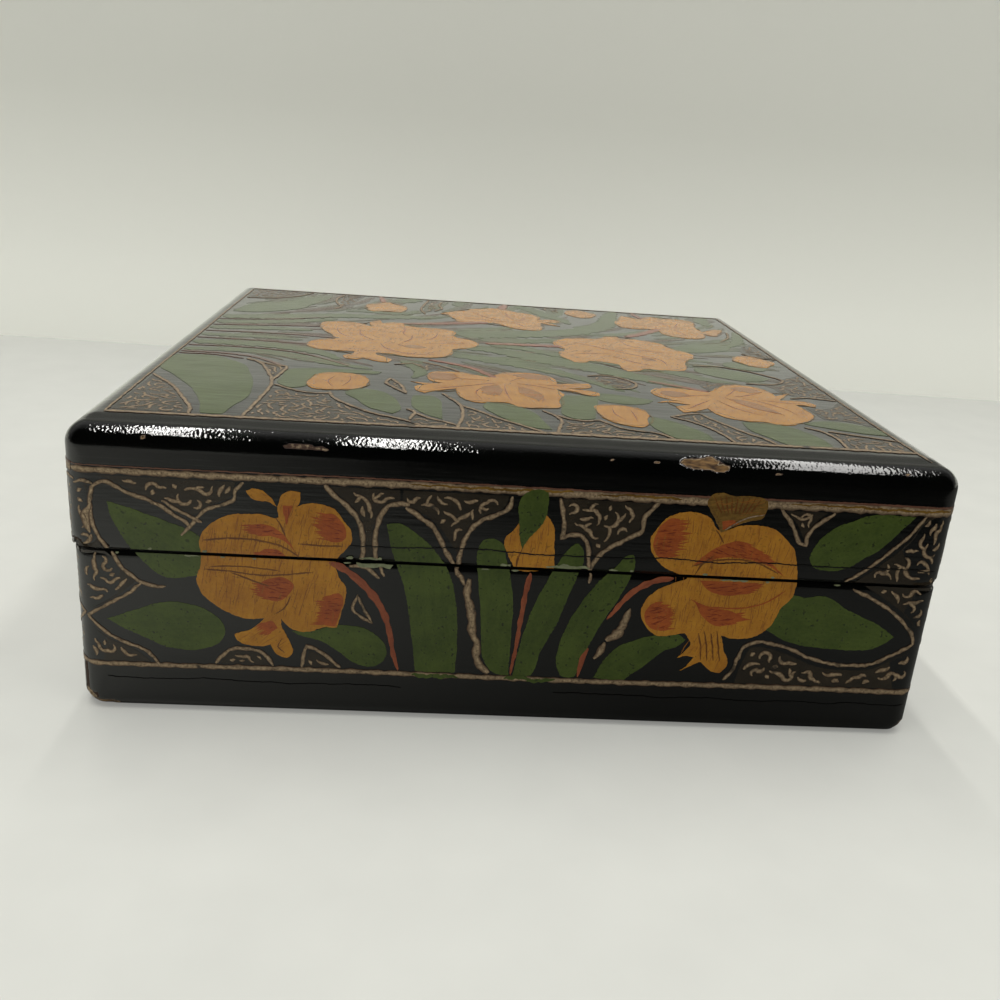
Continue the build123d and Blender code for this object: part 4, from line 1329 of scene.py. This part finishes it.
top_petal([(14, 17), (15, 20.5), (18, 24), (22, 26), (27, 26.6), (30.5, 31), (33, 31.6), (33.6, 28.4),
    (38, 29), (42, 27), (44.5, 24), (44.5, 21), (46, 18), (49, 15), (49.8, 12), (49, 8), (46.5, 4), (45, 0),
    (44.5, -4), (42.5, -8.5), (38, -9.5), (33, -9.3), (31.5, -11.5), (28.5, -13), (27.6, -10), (27.5, -6),
    (21, -3.5), (19, -6), (16.6, -6.4), (15.5, -3), (14, 1), (14.3, 5), (16, 9), (14.5, 12)], 60)
top_petal([(-12.6, 47.5), (-13.1, 50.4), (-15.5, 51.5), (-13, 54.4), (-11.2, 57), (-7.3, 59.9), (-6.3, 62.8),
    (-2.5, 64.7), (0.4, 67.1), (5.3, 65.7), (7.2, 62.8), (11.1, 60.9), (13, 58), (14, 54.2), (13, 51.3),
    (17, 52.6), (19.5, 52), (18.6, 48.6), (15, 47.2), (17.4, 44.5), (18.6, 42.6), (16.4, 43.2), (13.4, 46),
    (13, 41.7), (13, 36.9), (12, 34), (8.2, 33.1), (4.3, 35), (2.9, 36.9), (0, 40.8), (-4.4, 40),
    (-10.6, 39.6), (-11.2, 43.6)], 85)
top_petal([(36.3, 53.2), (36.7, 57), (38.2, 59.9), (39.2, 64.7), (40.6, 68.6), (43, 65.7), (45.9, 63.8),
    (47.9, 68.6), (49.8, 69.5), (53.7, 67.6), (56.6, 68.6), (60.5, 67.6), (62.4, 63.8), (61.4, 59.9),
    (60.9, 56.1), (60.5, 52.3), (61.4, 48.6), (63.4, 50.4), (66.3, 54.2), (68.2, 53.2), (67.2, 49.4),
    (65.3, 46.5), (64.3, 42.7), (62.4, 42.7), (60.9, 45), (60, 39.8), (58.5, 37.4), (54.7, 36), (50.8, 37.4),
    (47.9, 40.8), (47.9, 44.6), (47.4, 47.5), (45, 47.5), (41.1, 46.5), (37.2, 48.4), (36.3, 51.3)], 75)
# iris at the front, middle
top_petal([(-17.8, -28), (-17, -26), (-14, -24.8), (-10, -25), (-7.5, -26.5), (-4.5, -28.3), (-3, -24.8),
    (-1, -22.5), (2, -21.5), (5, -21.3), (8, -23), (9.8, -26), (10, -29), (9.6, -31), (13, -29.5),
    (17, -28.5), (17.3, -31), (16, -33), (12.2, -34), (15, -34.6), (17.8, -36), (18, -39), (16, -39.5),
    (13.5, -37), (9.3, -35.6), (10.2, -41), (9.5, -42.5), (8.7, -46), (8.3, -51), (4, -52), (0.3, -52.5),
    (-2, -49.5), (-5.5, -49.8), (-7.5, -50.8), (-10, -49), (-11.5, -46), (-12, -42), (-12, -40.2),
    (-16.5, -43.2), (-18.5, -45.3), (-20, -43.5), (-20.3, -40), (-18.5, -38.2), (-21.5, -36), (-17, -36.6),
    (-14.5, -36), (-16.5, -35), (-17.6, -33.5), (-18, -30)], 100)
# iris at the front right
top_petal([(30, -33), (31, -30), (33.5, -28), (37, -27.5), (40, -28.5), (43.6, -29.8), (44.5, -28),
    (46.5, -25), (49, -22), (52, -20.5), (55, -21), (57.3, -23.5), (58.3, -27), (58.5, -29.6), (62.5, -26.4),
    (59.4, -31.6), (58.2, -33.4), (61, -32.8), (64, -33.5), (65.3, -36), (64.3, -38), (62, -36.6),
    (60.6, -36.8), (61.5, -41), (61.3, -46), (59.5, -49.5), (56, -52.5), (54.5, -54), (51.5, -54.5),
    (49, -53), (45, -53), (41.5, -51), (39.8, -47), (39.6, -44.4), (35.5, -48), (33.5, -49), (33, -44.4),
    (36.5, -42.4), (32, -41), (29.5, -42), (32.2, -39.8), (36, -40), (33, -38.6), (31, -36.6)], 60)
# buds
top_petal([(-40.5, -34), (-38.5, -32.3), (-34, -32), (-31.5, -33.3), (-30.3, -36), (-30.2, -41),
    (-31.5, -45), (-34.5, -46.3), (-37.5, -47.3), (-40.3, -46.8), (-41.8, -44), (-41.6, -38.5)],
    85, bud_height)
top_petal([(16, -47.5), (18.5, -46.3), (22, -46.5), (25, -48.5), (25.8, -52), (24.5, -57), (24, -60.5),
    (22.5, -62.3), (19, -61), (16.5, -58), (15.5, -53)], 80, bud_height)
top_petal([(62, 14), (65, 14.8), (68, 12), (70, 7.5), (68, 4), (65.5, 1), (62.5, 2), (61, 5), (59.5, 8),
    (60.5, 12)], 70, bud_height)
top_petal([(-37.3, 57.1), (-36.3, 59.9), (-34.4, 61.4), (-32.5, 64.3), (-30.5, 65.7), (-29.6, 62.8),
    (-27.6, 61.4), (-25.7, 59.9), (-25.2, 56.1), (-25.7, 52.3), (-26.7, 48.9), (-29.6, 49.4), (-32.5, 48.9),
    (-34.4, 47.5), (-35.9, 49.4), (-36.3, 53.2)], 85, bud_height)
top_petal([(22.7, 65.7), (23.2, 69.5), (24.6, 72.4), (27.5, 73.4), (30.5, 70.5), (32.4, 67.6), (31.4, 63.8),
    (29.5, 60.9), (26.6, 59.9), (24.6, 61.9)], 80, bud_height)

# folds and shaded throats of the petals
for folds, width in (
        ([[(-25, 27), (-24.6, 22), (-24.8, 17), (-23.5, 12)], [(-22.5, 15), (-22.8, 9), (-25, 4)],
          [(-28, -3), (-25, -7), (-21, -8.5), (-17, -8)], [(-30, 2), (-28.5, -3), (-25, -9)],
          [(-26, 2.5), (-23, -0.5), (-19.5, -0.8)], [(-36, 18), (-35, 11), (-32, 6)],
          [(-42, 20), (-40.5, 12), (-36, 5)], [(-16, 20), (-17, 13), (-20, 8)],
          [(-9, 8), (-14, 7), (-19, 5)]], 0.7),
        ([[(36, 4.5), (37.5, 2), (35, 6)], [(30, 16.5), (37, 14), (44, 12)], [(28, 11), (34, 7), (40, 2.5)],
          [(27.5, 4), (31, -1), (36, -5.5)], [(33, 25), (34.5, 19), (38, 16)], [(20, 19), (25, 15), (29, 11)],
          [(18, 4), (23, 6), (28, 7.5)], [(40, -3), (39.5, 2), (38, 5)]], 0.75),
        ([[(-6, 57), (-2, 50), (2, 46)], [(4, 60), (4.5, 53), (6, 47)], [(10, 56), (8.5, 50), (6, 46)],
          [(-9, 46), (-3, 45), (3, 44)], [(8, 37), (7, 41), (5, 44)]], 0.8),
        ([[(50, 64), (51.5, 57), (53, 51)], [(57, 62), (55, 56), (53.5, 50)], [(42, 54), (47, 51), (52, 49)],
          [(55, 40), (54, 45), (53, 49)]], 0.8),
        ([[(-1.6, -33.5), (-1.8, -38), (-1.6, -43), (-1, -48)],
          [(-3, -34.5), (-6.5, -38), (-8, -43), (-7, -47.5)],
          [(0.6, -34.5), (4, -38), (5.6, -43), (5, -48.5)], [(-9.8, -37.5), (-6, -34.5), (-2, -32.6)],
          [(1, -32.6), (5, -33.6), (8.8, -36)], [(-15, -31), (-10, -31), (-5, -31)],
          [(4, -25), (1.5, -28), (-0.5, -31)], [(13.5, -31.6), (9, -32.4), (5, -32)],
          [(-17, -41.5), (-12, -38.5), (-8, -36)]], 0.45),
        ([[(46, -34), (48, -39), (51.5, -43.5), (55, -46.5)], [(43.6, -38), (46, -43.5), (50, -48)],
          [(50, -33.5), (54, -37), (57, -42), (58, -46)], [(51, -24), (49, -28.5), (46.5, -32.5)],
          [(56, -27), (52, -30.5), (48, -33)], [(33, -33.5), (38, -34), (43, -33)],
          [(35, -46), (38, -42), (42, -37)], [(62, -35.4), (58, -35.5), (53.5, -34.5)]], 0.5),
        ([[(-37, -35), (-38, -40), (-36.5, -45)], [(-34, -34.5), (-33.8, -39), (-35, -44)]], 0.4),
        ([[(19, -48.5), (18.8, -53), (20.5, -58.5)], [(22.5, -49.5), (22.6, -54), (22.4, -59)]], 0.4)):
    for crease in folds:
        top_fold(crease, (width * 0.2, width * 0.9, width * 0.15), "red", crease_height)
        top_fold(crease, (width * 0.1, width * 0.25, width * 0.08), "throat", throat_height)
for patch, edge, reach in (
        ([(-17.5, -28.5), (-15.6, -26.4), (-12.8, -26.8), (-12.6, -30), (-14, -33.4), (-16.8, -33)],
         [(-12.8, -27), (-12.5, -30), (-13.8, -33)], (2.0, 0.2)),
        ([(0.6, -24.2), (3, -22.6), (6.6, -22.8), (9, -25.4), (7, -26.8), (3.4, -26.4)],
         [(1, -24.8), (4, -26.5), (8, -26.4)], (-0.4, -1.8)),
        ([(-6.4, -37), (-3, -35.4), (-2.4, -39), (-3.2, -43.6), (-6.4, -42)],
         [(-6.4, -42), (-3.4, -43.4)], (-0.2, -1.8)),
        ([(1, -35.6), (4.4, -38), (5.8, -42), (4.4, -46), (1.4, -42)],
         [(5.6, -42), (4.4, -45.6)], (0.2, -1.9)),
        ([(32, -32.6), (34.4, -30.8), (37, -31.8), (37.2, -34.8), (34.6, -36.2), (32.6, -35)],
         [(37, -32), (37, -35)], (1.8, 0)),
        ([(47, -35), (50, -36), (53, -40.5), (54.5, -45), (50.6, -43), (48, -39)], [(50.6, -43), (54, -44.6)],
         (1.0, -1.4)),
        ([(49.4, -25), (52, -23), (55, -24), (56.4, -27), (53.4, -27.6), (51, -26.6)],
         [(50.6, -26.4), (54, -27.6)], (-0.8, -1.6)),
        ([(-24, 1.4), (-21, 2), (-18.6, 0), (-20.4, -1.8), (-23.4, -1)], None, None),
        ([(35.4, 4.4), (37.6, 3.2), (38.2, 0.6), (36, 1), (34.6, 2.6)], None, None)):
    shape("top", "throat", patch, throat_height, 0, 0.08, 41)
    if edge:
        feathering("top", "throat", edge, reach, throat_height, 43 + len(patch), 0.55, 0.6)

# gold contours
for line in (
        [(-72.2, -42.5), (-70, -45.5), (-66, -51.5), (-63.5, -57), (-61.5, -61.5), (-59.8, -65.5),
          (-58.9, -70)],
        [(-57.2, -23.5), (-54.5, -26), (-53, -28.5), (-51.5, -33), (-50, -38), (-49, -42), (-48.5, -48),
         (-48.8, -55), (-49.2, -62), (-49.8, -70)],
        [(-57, -23.2), (-53, -26.8), (-49.5, -28.6), (-48, -29), (-48, -34), (-48.6, -39), (-49, -42)],
        [(-47.8, -45.5), (-45, -48), (-42, -50), (-40, -50.5), (-37, -49.8), (-36.6, -48.8)],
        [(-36.9, -49.4), (-36.5, -50.5), (-35.5, -53.5), (-33.5, -56.5), (-30.5, -60), (-27.5, -63),
         (-24, -65), (-21, -67), (-18.5, -69.8)],
        [(-14.8, -45), (-13, -49), (-11.5, -53), (-11, -58), (-11.2, -63), (-12.3, -69.8)],
        [(-11.5, -53.5), (-8, -57), (-5, -61), (-1, -65), (3.5, -69.5)],
        [(-21.5, -58.5), (-20, -60.5), (-20.3, -63), (-20.8, -66)],
        [(-20, -61), (-17.5, -64), (-14, -66.5), (-12.2, -68)],
        [(-25.6, -34.5), (-26.4, -38.5), (-25, -41.5), (-22, -46.5)],
        [(-25.6, -34.5), (-23.6, -39), (-22, -46.5)],
        [(4.5, -54), (6.5, -57), (7.5, -60.5), (7, -64), (5.8, -69.5)],
        [(7, -57), (9.5, -59.3), (12, -60), (15, -59), (16.5, -61), (19, -64), (22, -65), (25, -66),
         (27.5, -69.5)],
        [(36.5, -49), (38.5, -54), (40.5, -58), (42.5, -62), (45, -65.5), (46.5, -69.5)],
        [(30, -53), (33.5, -56), (36, -60), (37.5, -64), (38.5, -69.5)],
        [(30, -53), (33, -51), (36.5, -49)],
        [(56, -55.5), (58.5, -57.5), (59.8, -61), (60, -65), (59.5, -69.5)],
        [(60, -57.5), (64, -59), (68, -60.5), (72, -62)],
        [(18, -20.5), (22, -19), (26, -21.5), (28, -26), (26, -30.5), (22.5, -32)],
        [(64.2, 17.5), (67.5, 14), (72, 12)],
        [(-44.8, 74), (-46.4, 66), (-45.6, 58), (-44, 52.5), (-45.4, 48)],
        [(-19, 74), (-20.4, 64), (-21, 56), (-19.8, 49)],
        [(-15, 72), (-15.8, 66), (-15, 60), (-17, 55)],
        [(46.5, -2), (52, -0.8), (58, -3.5), (63, -8.5), (65.5, -13), (62, -17.6), (55, -18.6)],
        [(61.5, -31), (65, -29.6), (71.8, -31)],
        [(-71.8, 58), (-64, 60), (-58, 66), (-54.5, 74)],
        [(63, 34), (66.5, 40), (69, 50)],
        [(-19.2, -16.5), (-15, -19.5), (-11, -24)],
        [(-25.5, -20.5), (-21.5, -18.5), (-19, -22)]):
    top_gold(line)

# brown cells and their scrolls
for number, (cell, spacing) in enumerate((
        ([(-72, -43), (-70, -46), (-66, -52), (-63.5, -57.5), (-61.8, -62), (-60.2, -66), (-59.3, -69.7),
          (-72.3, -69.7)], 1.9),
        ([(-48, -48), (-45, -49), (-42, -51), (-40, -51.3), (-37.3, -50.5), (-36.3, -53.5), (-34, -57),
          (-31, -60.5), (-28, -63.6), (-24.5, -65.7), (-21.5, -67.8), (-19, -69.7), (-49.3, -69.7),
          (-48.8, -62), (-48.3, -55)], 1.9),
        ([(-11.3, -55), (-8, -58), (-5, -62), (-1, -66), (2.5, -69.6), (-12, -69.6), (-11, -63),
          (-10.8, -58)], 1.8),
        ([(-20.4, -62), (-17.5, -64.8), (-13, -68.2), (-13, -69.7), (-18, -69.7), (-20.6, -66.5)], 1.7),
        ([(6.4, -69.6), (7.4, -64), (7.8, -60.2), (9.5, -60), (12, -60.7), (15, -59.8), (16.7, -62),
          (19, -65), (22, -66), (24.6, -67), (26.8, -69.6)], 1.8),
        ([(31, -52.6), (36.3, -49.8), (38.2, -54.5), (40.2, -58.6), (42.2, -62.6), (44.6, -66.2), (46, -69.6),
          (39, -69.6), (38, -64), (36.5, -60), (34, -56)], 1.8),
        ([(60, -58.2), (64, -60), (68, -61.5), (71.8, -63), (71.8, -69.6), (60.2, -69.6), (60.5, -65),
          (60.3, -61)], 1.9),
        ([(18.6, -21), (22, -19.8), (25.6, -22), (27.4, -26), (25.6, -30), (22.6, -31.4), (20, -28)], 1.9),
        ([(62, -39), (66, -39), (71.8, -32), (71.8, -52.5), (67, -48.8), (63, -48), (62.4, -43)], 2.0),
        ([(-56.5, -24), (-53, -26.6), (-50, -28.2), (-48.5, -29.4), (-48.5, -35), (-49.6, -40),
           (-51.3, -34.5),
          (-53, -29.5)], 1.7),
        ([(-25.4, -36), (-26, -38.8), (-24.8, -41.2), (-22.6, -44.6), (-23.8, -39)], 1.4),
        ([(-24.6, -20.6), (-21.4, -19.2), (-18.4, -17.8), (-15.4, -20), (-12, -23.8), (-16.5, -23.6),
          (-19.4, -25.6)], 2.0),
        ([(65, -13), (71.8, -6), (71.8, -29.5), (62.5, -28.5), (60.5, -22), (63.6, -17.6)], 2.1),
        ([(-72, 59), (-64, 61), (-58.4, 66.6), (-55, 74.6), (-72, 74.6)], 2.4),
        ([(-45, 48), (-43, 50), (-41.5, 58), (-40, 66), (-38.5, 74.6), (-44, 74.6), (-45.6, 66),
          (-44.8, 58)], 2.3),
        ([(-20.5, 50), (-17.2, 55.4), (-16, 60), (-16.4, 66), (-15.8, 74), (-18.4, 74.4), (-19.8, 64)], 2.3),
        ([(65, 18), (71.8, 13), (71.8, 30), (69, 30), (66, 25)], 2.2),
        ([(14, 74.6), (17.4, 68), (21.4, 62), (21.6, 70), (23, 74.6)], 2.3),
        ([(47, -19.5), (52, -20), (49, -21.6), (45.6, -25.4), (44, -27.6), (43, -24)], 1.9))):
    scrolls("top", cell, 400 + number, spacing * 0.88, 0.58)

# the gold frame
top_gold([(-72.8, -71.2), (-60, -70.9), (-40, -70.5), (-20, -70.1), (0, -69.9), (20, -69.8), (40, -69.7),
    (60, -69.6), (72.4, -69.7)], (1.2, 1.4, 1.5, 1.4, 1.3))
top_gold([(-72.8, -71.6), (-72.9, -40), (-72.7, 0), (-72.8, 40), (-72.6, 75.2)], 0.45)
top_gold([(72.6, -75.2), (72.3, -60), (72.2, -20), (72.3, 30), (72.4, 75.2)], 0.5)
top_gold([(-72.6, 75.4), (-30, 75.6), (20, 75.5), (72.4, 75.4)], 0.6)

# -----------------------------------------------------------------------------------------------------------
# The paints themselves: opaque gouache colours and bronze powder in glue, each with the streaks of its
# brush, all under the varnish. Petals are streaked and specked, leaves are specked with black, and bronze is
# grainy.

brushwork, given = new_group("brushwork", Streaks=1.0, Specks=0.5,
                             Streak="NodeSocketFloat", Speck="NodeSocketFloat")
brush_way = node(brushwork, "ShaderNodeUVMap", uv_map="stroke").outputs["UV"]
place = node(brushwork, "ShaderNodeTexCoord").outputs["Object"]
fine = stretched(brushwork, brush_way, (0.45, 3.2, 1.0))
bristles = noise(brushwork, fine, 1.0, 4.0, Roughness=0.62, Distortion=0.3)
broad = stretched(brushwork, brush_way, (0.14, 0.95, 1.0))
sweeps = noise(brushwork, broad, 1.0, 2.0, Distortion=0.5)
grit = noise(brushwork, place, 1500.0, 3.0)
patches = noise(brushwork, place, 190.0, 5.0)
streak = sums(brushwork, "ADD", ramp(brushwork, bristles, 0.32, 0.68, most=0.40),
              ramp(brushwork, sweeps, 0.36, 0.64, most=0.35))
streak = sums(brushwork, "MULTIPLY", streak, given["Streaks"])
streak = sums(brushwork, "ADD", streak, ramp(brushwork, patches, 0.34, 0.66, most=0.36))
streak = sums(brushwork, "ADD", streak, ramp(brushwork, grit, 0.30, 0.70, most=0.32), clamp=True)
speck = sums(brushwork, "MULTIPLY", ramp(brushwork, grit, 0.60, 0.69), given["Specks"])
node(brushwork, "NodeGroupOutput", {"Streak": streak, "Speck": speck})

# Each paint: the name of its films, its darkest and lightest colour, how specked it is, and how plainly the
# brush shows
colours = {
    "ground": ("cell_grounds", (0.0085, 0.0060, 0.0030), (0.026, 0.0175, 0.0085), 0.2, 0.5),
    "leaf": ("leaves", (0.022, 0.038, 0.0025), (0.060, 0.088, 0.0095), 0.75, 0.35),
    "petal": ("petals", (0.215, 0.073, 0.0015), (0.400, 0.178, 0.0070), 0.45, 0.5),
    "dull_petal": ("dull_petals", (0.035, 0.014, 0.001), (0.19, 0.100, 0.011), 0.5, 0.7),
    "deep_leaf": ("deep_leaves", (0.016, 0.024, 0.0030), (0.042, 0.056, 0.0100), 0.5, 0.6),
    "umber": ("umber_washes", (0.024, 0.013, 0.0060), (0.070, 0.042, 0.0230), 0.4, 0.6),
    "crimson": ("red_hairs", (0.095, 0.011, 0.0010), (0.190, 0.028, 0.0030), 0.3, 0.4),
    "red": ("petal_reds", (0.155, 0.024, 0.0014), (0.315, 0.068, 0.0050), 0.35, 0.6),
    "fold": ("petal_folds", (0.068, 0.020, 0.0015), (0.15, 0.053, 0.0040), 0.2, 0.6),
    "throat": ("petal_throats", (0.15, 0.048, 0.0030), (0.26, 0.098, 0.0080), 0.4, 0.6),
    "stem": ("stems", (0.11, 0.018, 0.0045), (0.24, 0.060, 0.020), 0.3, 0.8),
    "dull_stem": ("dull_stems", (0.068, 0.027, 0.015), (0.13, 0.057, 0.034), 0.3, 0.8),
    "crack": ("hairlines", (0.0010, 0.0010, 0.0010), (0.0030, 0.0026, 0.0020), 0.0, 0.5),
    "chip": ("bare_specks", (0.07, 0.08, 0.035), (0.24, 0.26, 0.15), 0.2, 0.5),
}
paint_roughness = 0.27
paints = {}
for kind, (film_name, dark, light, specks, streaks) in colours.items():
    material, tree = new_material("paint_" + kind)
    varnish = placed(tree, varnish_skin, Pebble=0.10, Brush=0.30, Waves=0.25)
    brush = placed(tree, brushwork, Streaks=streaks, Specks=specks)
    colour = blend(tree, brush["Streak"], (*dark, 1), (*light, 1))
    colour = blend(tree, brush["Speck"], colour, (*(part * 0.25 for part in dark), 1))
    skinned(tree, Base_Color=colour, Roughness=paint_roughness, Normal=varnish["Normal"])
    paints[kind] = (film_name, material)

# bronze powder is thin and dark along the edges of a line, and worn through in places
bronze, tree = new_material("paint_gold")
place = node(tree, "ShaderNodeTexCoord").outputs["Object"]
across = node(tree, "ShaderNodeUVMap", uv_map="stroke").outputs["UV"]
across = node(tree, "ShaderNodeSeparateXYZ", {"Vector": across}).outputs["X"]
off_middle = sums(tree, "ABSOLUTE", sums(tree, "SUBTRACT", across, 0.5))
powder = noise(tree, place, 2400.0, 3.0, Roughness=0.7)
thin = sums(tree, "ADD", off_middle, sums(tree, "MULTIPLY", powder, 0.35))
tone = blend(tree, ramp(tree, powder, 0.32, 0.70), (0.085, 0.052, 0.026, 1), (0.44, 0.325, 0.195, 1))
tone = blend(tree, ramp(tree, thin, 0.38, 0.66), tone, (0.060, 0.030, 0.014, 1))
rubbed = ramp(tree, noise(tree, place, 420.0, 4.0), 0.60, 0.72)
tone = blend(tree, rubbed, tone, (0.020, 0.015, 0.010, 1))
varnish = placed(tree, varnish_skin, Pebble=0.5, Brush=0.2, Waves=0.25)
skinned(tree, Base_Color=tone, Metallic=0.25, Roughness=0.42, Normal=varnish["Normal"])
paints["gold"] = ("gold_lines", bronze)

for (kind, body), film in films.items():
    film_name, material = paints[kind]
    piece = add_mesh(body + "_" + film_name, film["points"], film["faces"])
    strokes = piece.data.uv_layers.new(name="stroke")
    corners = np.zeros(len(piece.data.loops), dtype=np.int32)
    piece.data.loops.foreach_get("vertex_index", corners)
    strokes.data.foreach_set("uv", np.array(film["strokes"], np.float32)[corners].ravel())
    piece.data.materials.append(material)
    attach(piece, body)
